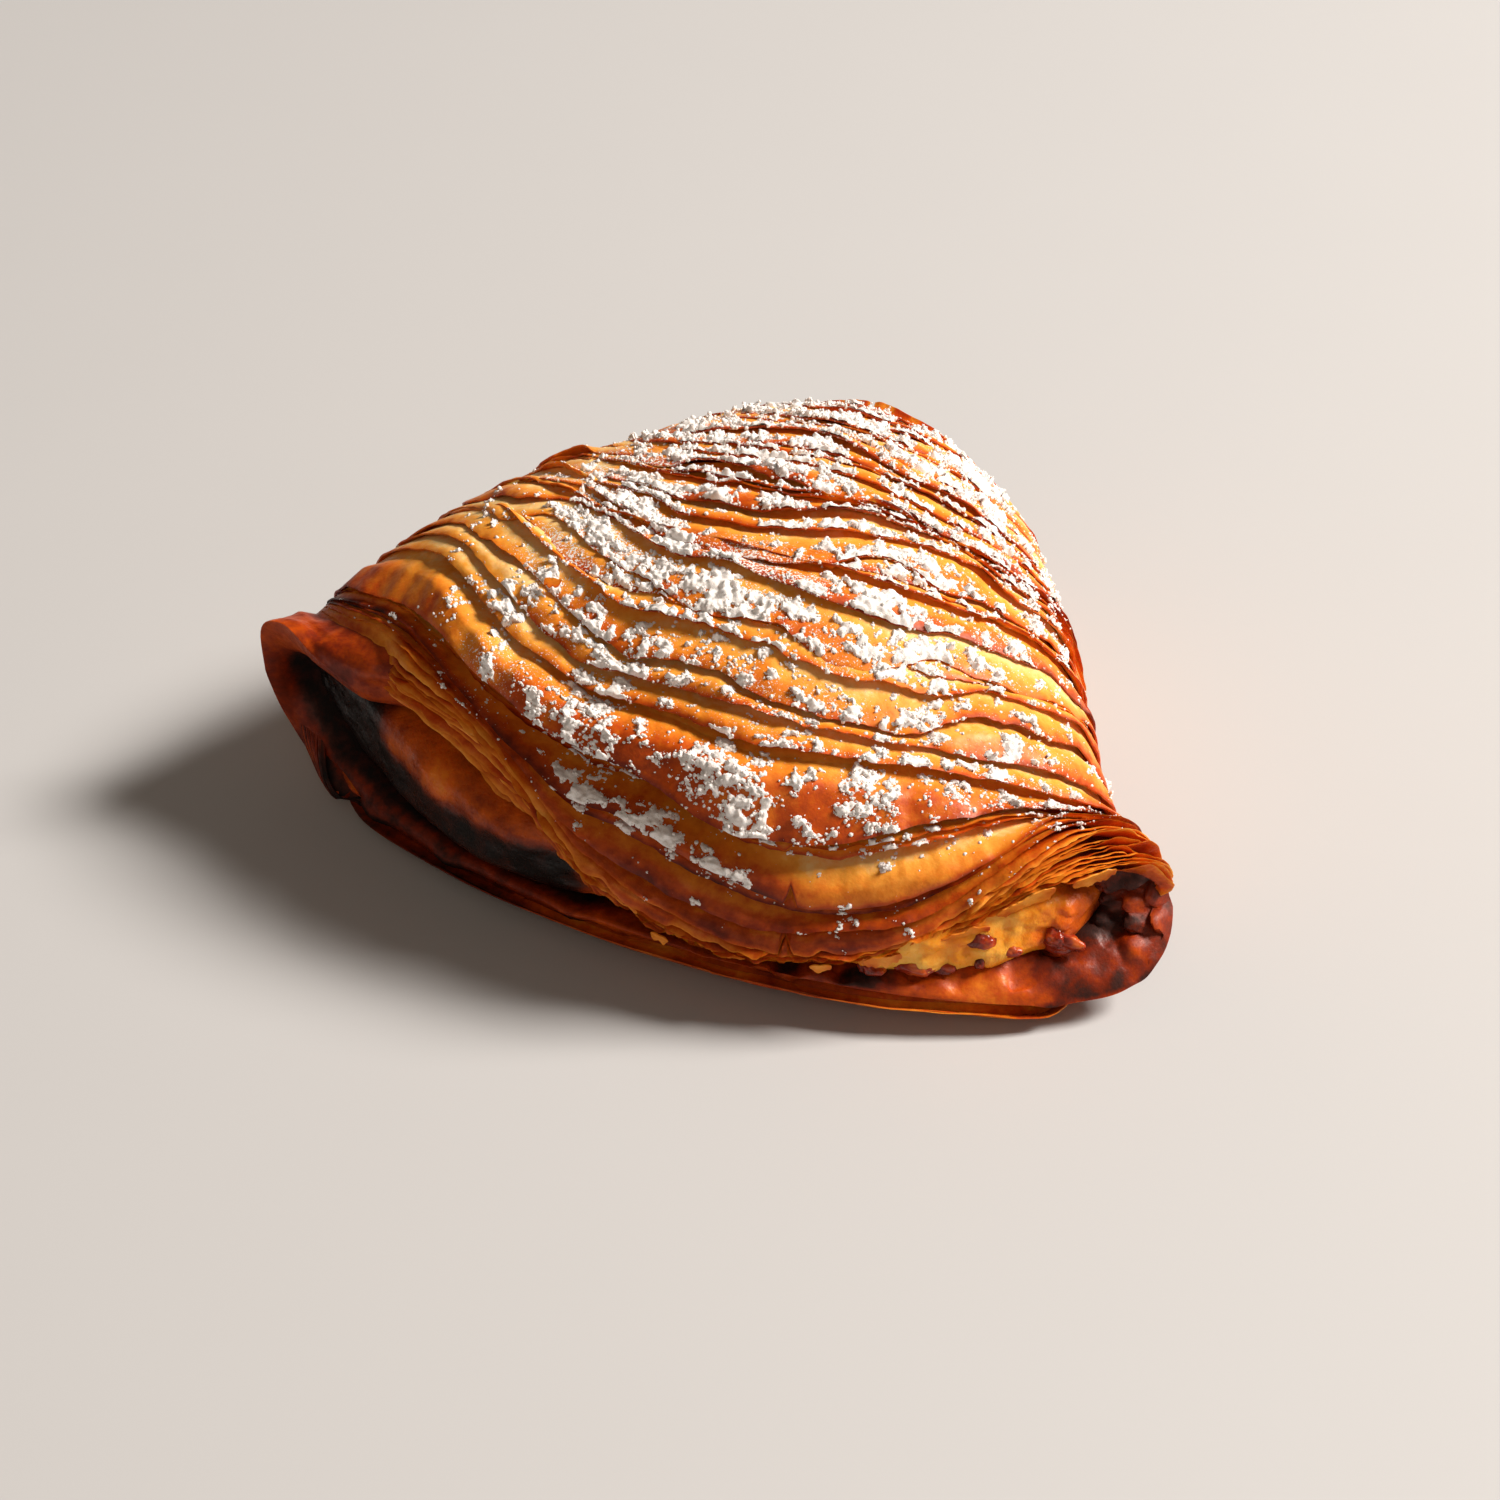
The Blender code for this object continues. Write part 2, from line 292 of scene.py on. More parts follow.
    def hollow(self, station: Array, angle: Array, clearance: float = 0.0,
               height: Array | float = 1.0) -> Array:
        """Points of the inside of the shell.

        Args:
            station: from 0 at the apex to 1 at the lip.
            angle: in radians, from the right ear over the crown.
            clearance: how far to stay off the inside, for the filling.
            height: share of the hollow's height, 0 for its middle line.

        Returns:
            Points in millimetres in the frame's axes.
        """
        station, angle = np.broadcast_arrays(
            np.asarray(station, float), np.asarray(angle, float))
        angle = np.mod(angle, 2.0 * math.pi)
        cosine = np.cos(angle)
        mouth = ease((station - 0.86) / 0.14)
        side = self.side_wall + (self.rim - self.side_wall) * mouth + clearance
        middle_x = through(self.station, self.middle_x, station)
        half_width = np.where(
            cosine < 0.0,
            middle_x - through(self.station, self.left_x, station),
            through(self.station, self.right_x, station) - middle_x)
        inner = np.arccos(np.clip(cosine * (1.0 - side / half_width), -1.0, 1.0))
        upper = self.body(station, inner)
        lower = self.body(station, 2.0 * math.pi - inner)
        middle = 0.5 * (upper + lower)
        reach = np.linalg.norm(upper - middle, axis=-1)
        above = angle <= math.pi
        wall = np.where(above, self.roof, self.floor)
        wall = wall + (self.rim - wall) * mouth + clearance
        keep = np.maximum(0.35, 1.0 - wall / reach)
        swell = np.sqrt(np.abs(np.sin(angle)))
        toward = np.where(above[..., None], upper - middle, lower - middle)
        point = middle + toward * (keep * swell * height)[..., None]
        point[..., 1] += through(self.setback_at, self.setback, station)
        return point


# --------------------------------------------------------------------------------------
# Meshes
# --------------------------------------------------------------------------------------

@dataclass
class Patch:
    """A grid of points with what its material reads at each of them."""

    points: Array                                   # rows, columns, 3; millimetres
    values: dict[str, Array] = field(default_factory=dict)
    keep: Array | None = None                       # rows, columns; False drops the point


def sew(name: str, patches: list[Patch], attributes: tuple[str, ...],
        crease: float = 50.0, closed: bool = True) -> bpy.types.Object:
    """Make one piece of several grids, with the edges that meet sewn together.

    Args:
        name: the piece's name.
        patches: the grids.
        attributes: the names of the values that go along.
        crease: faces that meet at a sharper angle than this, in degrees, look creased.
        closed: whether the grids close, so that outward is known.

    Returns:
        The new piece.
    """
    bm = bmesh.new()
    for patch in patches:
        rows, columns = patch.points.shape[:2]
        bmesh.ops.create_grid(bm, x_segments=columns - 1, y_segments=rows - 1, size=1.0)
    mesh = bpy.data.meshes.new(name)
    bm.to_mesh(mesh)
    bm.free()

    flat = np.empty(len(mesh.vertices) * 3)
    mesh.vertices.foreach_get("co", flat)
    where = flat.reshape(-1, 3)
    values = {attribute: np.zeros(len(where)) for attribute in attributes}
    keep = np.ones(len(where), bool)
    first = 0
    for patch in patches:
        rows, columns = patch.points.shape[:2]
        block = slice(first, first + rows * columns)
        column = np.rint((where[block, 0] + 1.0) * 0.5 * (columns - 1)).astype(int)
        row = np.rint((where[block, 1] + 1.0) * 0.5 * (rows - 1)).astype(int)
        where[block] = patch.points[row, column] * MM
        for attribute in attributes:
            values[attribute][block] = patch.values[attribute][row, column]
        if patch.keep is not None:
            keep[block] = patch.keep[row, column]
        first += rows * columns
    mesh.vertices.foreach_set("co", where.ravel())
    for attribute in attributes:
        layer = mesh.attributes.new(attribute, "FLOAT", "POINT")
        layer.data.foreach_set("value", values[attribute])

    bm = bmesh.new()
    bm.from_mesh(mesh)
    if not keep.all():
        bm.verts.ensure_lookup_table()
        dropped = [bm.verts[i] for i in np.flatnonzero(~keep)]
        bmesh.ops.delete(bm, geom=dropped, context="VERTS")
    bmesh.ops.remove_doubles(bm, verts=bm.verts, dist=2e-7)
    bmesh.ops.dissolve_degenerate(bm, edges=bm.edges, dist=2e-7)
    if closed:
        bmesh.ops.recalc_face_normals(bm, faces=bm.faces)
    bm.to_mesh(mesh)
    bm.free()
    mesh.shade_smooth()
    mesh.set_sharp_from_angle(angle=math.radians(crease))
    piece = bpy.data.objects.new(name, mesh)
    bpy.context.scene.collection.objects.link(piece)
    return piece


# --------------------------------------------------------------------------------------
# Materials
# --------------------------------------------------------------------------------------

def linear(hex_colour: str) -> tuple[float, float, float, float]:
    """Linear colour from an sRGB hex value such as "#E9A23B"."""
    parts = [int(hex_colour[i:i + 2], 16) / 255.0 for i in (1, 3, 5)]
    return tuple(p / 12.92 if p <= 0.04045 else ((p + 0.055) / 1.055) ** 2.4
                 for p in parts) + (1.0,)


def add(tree: bpy.types.NodeTree, kind: str, settings: dict | None = None,
        links: dict | None = None) -> bpy.types.Node:
    """Add a node.

    Args:
        tree: the node tree.
        kind: the node's type name.
        settings: its properties by name, and its inputs' values by input name or number.
        links: output sockets to join to its inputs, by input name or number.

    Returns:
        The new node.
    """
    node = tree.nodes.new(kind)
    for name, value in (settings or {}).items():
        if isinstance(name, str) and hasattr(node, name):
            setattr(node, name, value)
        else:
            node.inputs[name].default_value = value
    for name, socket in (links or {}).items():
        tree.links.new(socket, node.inputs[name])
    return node


def ramp(tree: bpy.types.NodeTree, source: bpy.types.NodeSocket,
         stops: tuple[tuple[float, str], ...]) -> bpy.types.NodeSocket:
    """Colour from a value through a row of (place, hex colour) stops."""
    node = add(tree, "ShaderNodeValToRGB", {}, {"Fac": source})
    elements = node.color_ramp.elements
    elements[0].position, elements[-1].position = stops[0][0], stops[-1][0]
    for place, _ in stops[1:-1]:
        elements.new(place)
    for element, (_, colour) in zip(elements, stops):
        element.color = linear(colour)
    return node.outputs["Color"]


def fresh_material(name: str) -> tuple[bpy.types.Material, bpy.types.NodeTree, bpy.types.Node]:
    """New node material with its Principled shader."""
    material = bpy.data.materials.new(name)
    material.use_nodes = True
    return material, material.node_tree, material.node_tree.nodes["Principled BSDF"]


@dataclass(frozen=True)
class BakedDough:
    """Strong flour dough, stretched thin, larded and baked: glassy crisp, gold to brown.

    Browning comes with each leaf as a value: pale where the leaf above sheltered it,
    brown at its free edge.  The same value also carries painted shade, in crevices and on
    shaded parts, and painted light on lit edges and parts.  The nodes add toasted freckles,
    the tiny blisters that the lard fried into it, a greasy satin gloss, and the thinnest
    dusting of sugar.
    """

    name: str = "baked_leaf_dough"
    pale: str = "#FFCE86"
    straw: str = "#FAA840"
    gold: str = "#E68420"
    amber: str = "#C04C04"
    brown: str = "#802400"
    dark: str = "#3C1002"
    burnt: str = "#120603"
    sugar: str = "#FBF8F4"
    freckle_mm: float = 1.6
    blister_mm: float = 0.55
    speck_mm: float = 0.30

    def make(self) -> bpy.types.Material:
        """Build the material."""
        material, tree, shader = fresh_material(self.name)
        place = add(tree, "ShaderNodeTexCoord").outputs["Object"]
        bake_and_painted_light = add(tree, "ShaderNodeAttribute", {"attribute_name": "bake_and_painted_light"}).outputs["Fac"]
        dust = add(tree, "ShaderNodeAttribute", {"attribute_name": "dust"}).outputs["Fac"]
        freckles = add(tree, "ShaderNodeTexNoise", {
            "Scale": 1.0 / (self.freckle_mm * MM), "Detail": 4.0, "Roughness": 0.62},
            {"Vector": place}).outputs["Fac"]
        shifted = add(tree, "ShaderNodeMapRange", {
            "From Min": 0.3, "From Max": 0.7, "To Min": -0.085, "To Max": 0.085},
            {"Value": freckles}).outputs["Result"]
        browning_and_painted_light = add(tree, "ShaderNodeMath", {"operation": "ADD", "use_clamp": True},
                      {0: bake_and_painted_light, 1: shifted}).outputs[0]
        crust = ramp(tree, browning_and_painted_light, (
            (0.00, self.pale), (0.14, self.straw), (0.32, self.gold), (0.52, self.amber),
            (0.70, self.brown), (0.86, self.dark), (1.00, self.burnt)))

        specks = add(tree, "ShaderNodeTexNoise", {
            "Scale": 1.0 / (self.speck_mm * MM), "Detail": 2.0, "Roughness": 0.7},
            {"Vector": place}).outputs["Fac"]
        level = add(tree, "ShaderNodeMapRange", {
            "From Min": 0.0, "From Max": 1.0, "To Min": 0.86, "To Max": 0.40},
            {"Value": dust}).outputs["Result"]
        over = add(tree, "ShaderNodeMath", {"operation": "SUBTRACT"},
                   {0: specks, 1: level}).outputs[0]
        white = add(tree, "ShaderNodeMapRange", {
            "From Min": 0.0, "From Max": 0.07, "To Min": 0.0, "To Max": 0.92},
            {"Value": over}).outputs["Result"]
        coloured = add(tree, "ShaderNodeMix", {
            "data_type": "RGBA", 7: linear(self.sugar)}, {0: white, 6: crust})
        tree.links.new(coloured.outputs[2], shader.inputs["Base Color"])

        rough = add(tree, "ShaderNodeMapRange", {
            "From Min": 0.3, "From Max": 0.7, "To Min": 0.36, "To Max": 0.58},
            {"Value": freckles}).outputs["Result"]
        charred = add(tree, "ShaderNodeMapRange", {
            "From Min": 0.62, "From Max": 0.95, "To Min": 0.0, "To Max": 0.80},
            {"Value": browning_and_painted_light}).outputs["Result"]
        duller = add(tree, "ShaderNodeMath", {"operation": "MAXIMUM"},
                     {0: rough, 1: charred}).outputs[0]
        rougher = add(tree, "ShaderNodeMath", {"operation": "MAXIMUM"},
                      {0: duller, 1: white}).outputs[0]
        tree.links.new(rougher, shader.inputs["Roughness"])

        blisters = add(tree, "ShaderNodeTexNoise", {
            "Scale": 1.0 / (self.blister_mm * MM), "Detail": 3.0, "Roughness": 0.55},
            {"Vector": place}).outputs["Fac"]
        heap = add(tree, "ShaderNodeMath", {"operation": "MULTIPLY_ADD", 1: 0.8},
                   {0: white, 2: blisters}).outputs[0]
        bump = add(tree, "ShaderNodeBump", {"Strength": 0.55, "Distance": 0.12 * MM},
                   {"Height": heap}).outputs["Normal"]
        tree.links.new(bump, shader.inputs["Normal"])
        shader.inputs["IOR"].default_value = 1.45
        shader.inputs["Specular IOR Level"].default_value = 0.32
        shader.inputs["Subsurface Weight"].default_value = 0.25
        shader.inputs["Subsurface Radius"].default_value = (1.0, 0.42, 0.12)
        shader.inputs["Subsurface Scale"].default_value = 0.6 * MM
        return material


@dataclass(frozen=True)
class BakedFilling:
    """Ricotta and semolina filling: moist and grainy yellow, scorched where the heat got in, and darkened by
    painted shade deep in the mouth.
    """

    name: str = "ricotta_filling"
    cream: str = "#FFC45A"
    yellow: str = "#FA9C24"
    orange: str = "#DA6410"
    rust: str = "#8E3410"
    dark: str = "#3A150A"
    burnt: str = "#120806"
    grain_mm: float = 0.6

    def make(self) -> bpy.types.Material:
        """Build the material."""
        material, tree, shader = fresh_material(self.name)
        place = add(tree, "ShaderNodeTexCoord").outputs["Object"]
        bake_and_painted_light = add(tree, "ShaderNodeAttribute", {"attribute_name": "bake_and_painted_light"}).outputs["Fac"]
        patches = add(tree, "ShaderNodeTexNoise", {
            "Scale": 1.0 / (3.2 * MM), "Detail": 4.0, "Roughness": 0.6},
            {"Vector": place}).outputs["Fac"]
        shifted = add(tree, "ShaderNodeMapRange", {
            "From Min": 0.3, "From Max": 0.7, "To Min": -0.12, "To Max": 0.12},
            {"Value": patches}).outputs["Result"]
        browning_and_painted_light = add(tree, "ShaderNodeMath", {"operation": "ADD", "use_clamp": True},
                      {0: bake_and_painted_light, 1: shifted}).outputs[0]
        colour = ramp(tree, browning_and_painted_light, (
            (0.00, self.cream), (0.22, self.yellow), (0.45, self.orange),
            (0.66, self.rust), (0.84, self.dark), (1.00, self.burnt)))
        tree.links.new(colour, shader.inputs["Base Color"])
        grains = add(tree, "ShaderNodeTexNoise", {
            "Scale": 1.0 / (self.grain_mm * MM), "Detail": 3.0, "Roughness": 0.6},
            {"Vector": place}).outputs["Fac"]
        rough = add(tree, "ShaderNodeMapRange", {
            "From Min": 0.3, "From Max": 0.7, "To Min": 0.22, "To Max": 0.48},
            {"Value": grains}).outputs["Result"]
        tree.links.new(rough, shader.inputs["Roughness"])
        bump = add(tree, "ShaderNodeBump", {"Strength": 0.6, "Distance": 0.25 * MM},
                   {"Height": grains}).outputs["Normal"]
        tree.links.new(bump, shader.inputs["Normal"])
        shader.inputs["IOR"].default_value = 1.42
        shader.inputs["Specular IOR Level"].default_value = 0.35
        shader.inputs["Subsurface Weight"].default_value = 0.35
        shader.inputs["Subsurface Radius"].default_value = (1.0, 0.6, 0.25)
        shader.inputs["Subsurface Scale"].default_value = 2.0 * MM
        return material


@dataclass(frozen=True)
class PaleTable:
    """Matt painted board for the pastry to lie on, pale and plain."""

    name: str = "pale_table"
    colour: str = "#C3C4C6"

    def make(self) -> bpy.types.Material:
        """Build the material."""
        material, tree, shader = fresh_material(self.name)
        place = add(tree, "ShaderNodeTexCoord").outputs["Object"]
        mottle = add(tree, "ShaderNodeTexNoise", {"Scale": 30.0, "Detail": 3.0},
                     {"Vector": place}).outputs["Fac"]
        rough = add(tree, "ShaderNodeMapRange", {"To Min": 0.62, "To Max": 0.72},
                    {"Value": mottle}).outputs["Result"]
        tree.links.new(rough, shader.inputs["Roughness"])
        shader.inputs["Base Color"].default_value = linear(self.colour)
        return material


# --------------------------------------------------------------------------------------
# The leaves
# --------------------------------------------------------------------------------------

@dataclass(frozen=True)
class Leaf:
    """One ring of dough: where its free edge lies and how it stands over the body."""

    edge: float                     # station of the free edge at the middle of the crown
    seed: int
    sink: float = 1.1               # depth of its root under the body
    lift: float = 0.8               # height of its crest over the body
    proud: float = 0.0              # extra height left of the middle, where it gapes
    rise: float = 3.0               # how far past the edge above it has risen
    thick: float = 0.32
    fray: float = 0.35              # how ragged the free edge is
    tone: float = 0.0               # extra browning; on the leaf at 0.940 it is partly painted shade
    gold: float = 0.0               # how much paler its right half is: partly its own gold, partly painted light on that lit half
    stray: float = 1.0              # how far the edge strays
    pucker: float = 0.0             # height of the puckers that cross it
    flare: float = 0.0              # how far parts of its edge stand up
    flare_mm: float = 10.0          # how far apart those parts are
    below: bool = False             # shows along the lower lip
    cracks: tuple = ()              # turns at which the free edge is split
    over: "Leaf | None" = None      # the leaf that overlaps its root


@dataclass
class Sites:
    """Places on the body, with the body's own measures there."""

    station: Array
    angle: Array
    base: Array
    normal: Array
    pace: Array                     # millimetres per station

    @property
    def turn(self) -> Array:
        """Angle in half turns from the right ear over the crown."""
        return self.angle / math.pi


@dataclass
class LeafStack:
    """All the leaves, and how their edges run from ear to ear."""

    form: Form
    columns: int = 540
    row_pitch: float = 0.50
    under_share: float = 0.20          # share of the columns spent on the underside
    crown_leaves: int = 28
    seed: int = 5
    fan_leaves: int = 12
    stack_gap: float = 0.21            # height between leaves in the bundle at the lip
    guide_turn: tuple = (
        0.00, 0.10, 0.18, 0.25, 0.33, 0.42, 0.50, 0.56, 0.60, 0.64, 0.68, 0.72, 0.76, 0.85, 1.00)
    guide_edge: tuple = (0.0, 0.50, 0.74, 0.80, 0.88, 0.94, 0.96, 0.98, 0.987, 1.0)
    guides: tuple = (
        (0.000,) * 15,
        (0.515, 0.515, 0.515, 0.510, 0.500, 0.500, 0.500, 0.500, 0.495, 0.485, 0.465, 0.445,
         0.425, 0.410, 0.400),
        (0.760, 0.757, 0.751, 0.757, 0.754, 0.748, 0.738, 0.732, 0.733, 0.715, 0.675, 0.640,
         0.610, 0.590, 0.580),
        (0.865, 0.852, 0.832, 0.813, 0.798, 0.800, 0.800, 0.795, 0.790, 0.772, 0.745, 0.712,
         0.685, 0.665, 0.655),
        (0.885, 0.872, 0.856, 0.853, 0.866, 0.887, 0.878, 0.850, 0.843, 0.826, 0.806, 0.785,
         0.765, 0.750, 0.745),
        (0.895, 0.882, 0.872, 0.905, 0.938, 0.944, 0.918, 0.900, 0.896, 0.872, 0.833, 0.802,
         0.785, 0.775, 0.770),
        (0.905, 0.893, 0.890, 0.921, 0.958, 0.960, 0.958, 0.943, 0.930, 0.893, 0.845, 0.812,
         0.795, 0.785, 0.780),
        (0.915, 0.904, 0.908, 0.941, 0.980, 0.984, 0.977, 0.960, 0.941, 0.901, 0.853, 0.825,
         0.805, 0.795, 0.790),
        (0.922, 0.913, 0.918, 0.950, 0.985, 0.987, 0.984, 0.972, 0.950, 0.908, 0.862, 0.838,
         0.820, 0.805, 0.800),
        (1.000,) * 15)
    under_reach: float = 0.22          # half turns over which an edge finds its way below
    net: tuple = (321, 1001)           # rows and columns of the surveyed body

    def __post_init__(self) -> None:
        """Prepare the noises, the spacing of the columns and the list of leaves."""
        self.broad = Noise(11)
        self.ripple = Noise(12)
        self.fine = Noise(13)
        self.chart = self.survey()
        self.angles = self.even_angles(self.columns)
        self.leaves = self.pile()

    def even_angles(self, columns: int) -> Array:
        """Angles of the columns: even along the top of a ring, coarser underneath."""
        dense = np.linspace(-0.5 * math.pi, 1.5 * math.pi, 2001)
        ring = self.form.body(0.75, dense)
        steps = np.linalg.norm(np.diff(ring, axis=0), axis=-1)
        middle = 0.5 * (dense[1:] + dense[:-1])
        on_top = (middle > -0.25) & (middle < math.pi + 0.25)
        top, under = steps[on_top].sum(), steps[~on_top].sum()
        weight = np.where(on_top, (1.0 - self.under_share) / top, self.under_share / under)
        travel = np.concatenate([[0.0], np.cumsum(steps * weight)])
        return np.interp(np.linspace(0.0, 1.0, columns), travel / travel[-1], dense)

    def pile(self) -> list[Leaf]:
        """List the leaves from the apex to the lip, each knowing the one over it."""
        plan = []
        maker = np.random.default_rng(self.seed)
        widths = maker.uniform(0.45, 1.75, self.crown_leaves) * np.linspace(
            0.9, 1.1, self.crown_leaves)
        for k, edge in enumerate(np.cumsum(widths) * 0.752 / widths.sum()):
            lift = maker.uniform(0.05, 0.50)
            tone = maker.uniform(-0.06, 0.06)
            proud = maker.uniform(0.0, 0.8)
            sink = maker.uniform(0.25, 0.92)
            plan.append(dict(edge=edge, sink=sink, lift=lift, proud=proud, tone=tone, stray=1.9,
                             rise=maker.uniform(1.8, 5.0), fray=0.45,
                             flare=maker.uniform(0.4, 1.6)))
            if k % 3 == 1:
                plan.append(dict(edge=edge + 0.006, sink=sink, lift=0.3 * lift, proud=proud,
                                 thick=0.22, stray=1.6, rise=1.2, tone=tone + 0.04, fray=0.6))
        plan.append(dict(edge=0.776, lift=0.45, proud=0.4, rise=2.0, stray=0.6))
        plan.append(dict(edge=0.800, lift=0.7, proud=0.5, rise=2.6, stray=0.5, tone=-0.03))
        plan.append(dict(edge=0.880, lift=1.0, proud=2.0, rise=3.6, sink=1.2, stray=0.5,
                         pucker=0.42, fray=0.3, tone=0.08))
        plan.append(dict(edge=0.885, lift=0.45, proud=-0.5, rise=1.2, sink=1.3, stray=1.1,
                         thick=0.20, fray=0.55, tone=0.02, flare=0.6, flare_mm=7.0))
        plan.append(dict(edge=0.892, lift=0.1, proud=-0.7, rise=1.2, sink=1.5, stray=1.3,
                         thick=0.20, fray=0.60, tone=0.10, flare=0.8, flare_mm=7.0))
        # Painted light and shade on this leaf: its tone darkens the shaded left half and its gold leaves the
        # lit right half paler, both partly its own colour.
        plan.append(dict(edge=0.940, lift=0.8, proud=1.1, rise=3.6, sink=2.0, stray=0.4,
                         fray=0.22, gold=0.22, tone=0.18, cracks=(0.441,)))
        plan.append(dict(edge=0.947, lift=0.35, proud=-0.2, rise=1.6, stray=0.4, fray=0.25,
                         thick=0.24, tone=0.20, flare=0.5, flare_mm=7.0))
        plan.append(dict(edge=0.962, lift=0.75, proud=0.2, rise=2.4, sink=1.4, stray=0.4, fray=0.3,
                         thick=0.26, tone=0.20, flare=0.7, flare_mm=7.0))
        plan.append(dict(edge=0.980, lift=0.65, proud=0.2, rise=1.8, stray=0.35, fray=0.4,
                         thick=0.26, tone=0.22, cracks=(0.445,), flare=0.8, flare_mm=6.0))
        for k in range(self.fan_leaves):
            share = (k + 0.3) / self.fan_leaves
            stand = 0.75 - self.stack_gap * k + 0.22 * math.sin(2.1 * k)
            plan.append(dict(edge=0.987 + 0.0128 * share, lift=stand, sink=1.6 - stand,
                             rise=0.8, stray=0.5, fray=0.80, thick=0.16,
                             tone=0.12 + 0.07 * math.sin(2.9 * k),
                             flare=1.6, flare_mm=4.5, below=k % 3 == 1))
        leaves, over = [], None
        for number, item in enumerate(plan):
            over = Leaf(seed=100 + number, over=over, **item)
            leaves.append(over)
        return leaves

    def survey(self) -> Array:
        """Body points, normals and millimetres per station on an even net, to read between."""
        def rounded(station: Array, angle: Array) -> Array:
            """Body points, with the upright keel at the apex worn round."""
            points = self.form.body(station, angle)
            points[..., 1] -= 55.0 * (np.sqrt(station**2 + 0.022**2) - station)
            return points

        station = np.linspace(0.0, 1.0, self.net[0])[:, None]
        angle = np.linspace(-0.5 * math.pi, 1.5 * math.pi, self.net[1])[None, :]
        reach = 0.006
        ahead, back = np.minimum(station + reach, 1.0), np.maximum(station - reach, 0.0)
        along = rounded(ahead, angle) - rounded(back, angle)
        around = rounded(station, angle + reach) - rounded(station, angle - reach)
        normal = np.cross(around, along)
        normal = normal / (np.linalg.norm(normal, axis=-1, keepdims=True) + 1e-9)
        pace = np.linalg.norm(along, axis=-1, keepdims=True) / (ahead - back)[..., None]
        return np.concatenate([rounded(station, angle), normal, pace], axis=-1)

    def sites(self, station: Array, angle: Array) -> Sites:
        """Read the body at stations and angles."""
        station, angle = np.broadcast_arrays(station, angle)
        row = np.clip(station, 0.0, 1.0) * (self.net[0] - 1)
        column = (angle / (2.0 * math.pi) + 0.25) * (self.net[1] - 1)
        r = np.clip(row.astype(int), 0, self.net[0] - 2)
        c = np.clip(column.astype(int), 0, self.net[1] - 2)
        fr, fc = (row - r)[..., None], (column - c)[..., None]
        read = ((self.chart[r, c] * (1.0 - fc) + self.chart[r, c + 1] * fc) * (1.0 - fr)
                + (self.chart[r + 1, c] * (1.0 - fc) + self.chart[r + 1, c + 1] * fc) * fr)
        return Sites(station, angle, read[..., :3], read[..., 3:6], read[..., 6])

    def follow(self, edge: float, turn: Array) -> Array:
        """Where an edge lies at each turn, from its station at the middle of the crown.

        Args:
            edge: the station at the middle of the crown.
            turn: half turns from the right ear, from -0.5 to 1.5.

        Returns:
            Stations at those turns.
        """
        row = int(np.clip(np.searchsorted(self.guide_edge, edge, side="right") - 1, 0,
                          len(self.guide_edge) - 2))
        low, high = self.guide_edge[row], self.guide_edge[row + 1]
        share = (edge - low) / (high - low)
        side = np.clip(turn, 0.0, 1.0)
        lower = through(self.guide_turn, self.guides[row], side)
        upper = through(self.guide_turn, self.guides[row + 1], side)
        beyond = np.maximum(-turn, turn - 1.0)
        settle_in = ease(beyond / self.under_reach)
        return (lower + (upper - lower) * share) * (1.0 - settle_in) + edge * settle_in

    def free_edge(self, leaf: Leaf, angle: Array) -> Array:
        """Station of the free edge, straying, frayed and cracked."""
        before = leaf.over.edge if leaf.over else 0.0
        width = min(max(leaf.edge - before, 0.003), 0.03)
        ring = self.form.body(np.full_like(angle, min(leaf.edge, 0.97)), angle)
        salt = np.array([0.0, 0.0, 3.7 * leaf.seed])
        turn = angle / math.pi
        stray = self.broad.at(ring + salt, 19.0) + 0.65 * self.broad.at(ring - salt, 8.0)
        stray = stray * 0.62 * leaf.stray * width
        frayed = self.ripple.at(ring + salt, 2.6) * 0.55 + self.fine.at(ring + salt, 0.9) * 0.40
        bites = np.clip(self.ripple.at(ring - salt, 4.2) - 0.40, 0.0, 1.0) * 2.6
        fray = (frayed - bites) * leaf.fray / 115.0
        fray = fray * (1.0 - 0.75 * ease((0.30 - np.sin(angle)) / 0.3) * (np.cos(angle) > 0.0))
        fray = fray * (1.0 - 0.75 * ease((-np.sin(angle) - 0.05) / 0.3))
        for crack in leaf.cracks:
            fray = fray - 0.020 * np.clip(1.0 - np.abs(turn - crack) / 0.0045, 0.0, 1.0) ** 0.8
        edge = self.follow(leaf.edge, turn) + stray + fray
        hidden = bare_lip(turn) * (1.0 - leaf.below * lower_lip(angle))
        ear_tip = hump(turn, 1.0, 0.08)
        return np.clip(edge, 0.004, 0.9995 - 0.035 * hidden - 0.08 * ear_tip)

    def span(self, leaf: Leaf, angle: Array) -> tuple[Array, Array, Array]:
        """Stations of a leaf's root, of the edge over it and of its free edge."""
        edge = self.free_edge(leaf, angle)
        if leaf.over is None:
            return np.zeros_like(edge), np.zeros_like(edge), edge
        over = self.free_edge(leaf.over, angle)
        width = leaf.edge - leaf.over.edge
        root = np.minimum(over, edge) - (0.012 + 0.35 * min(width, 0.03))
        return np.clip(root, 0.0, None), over, edge

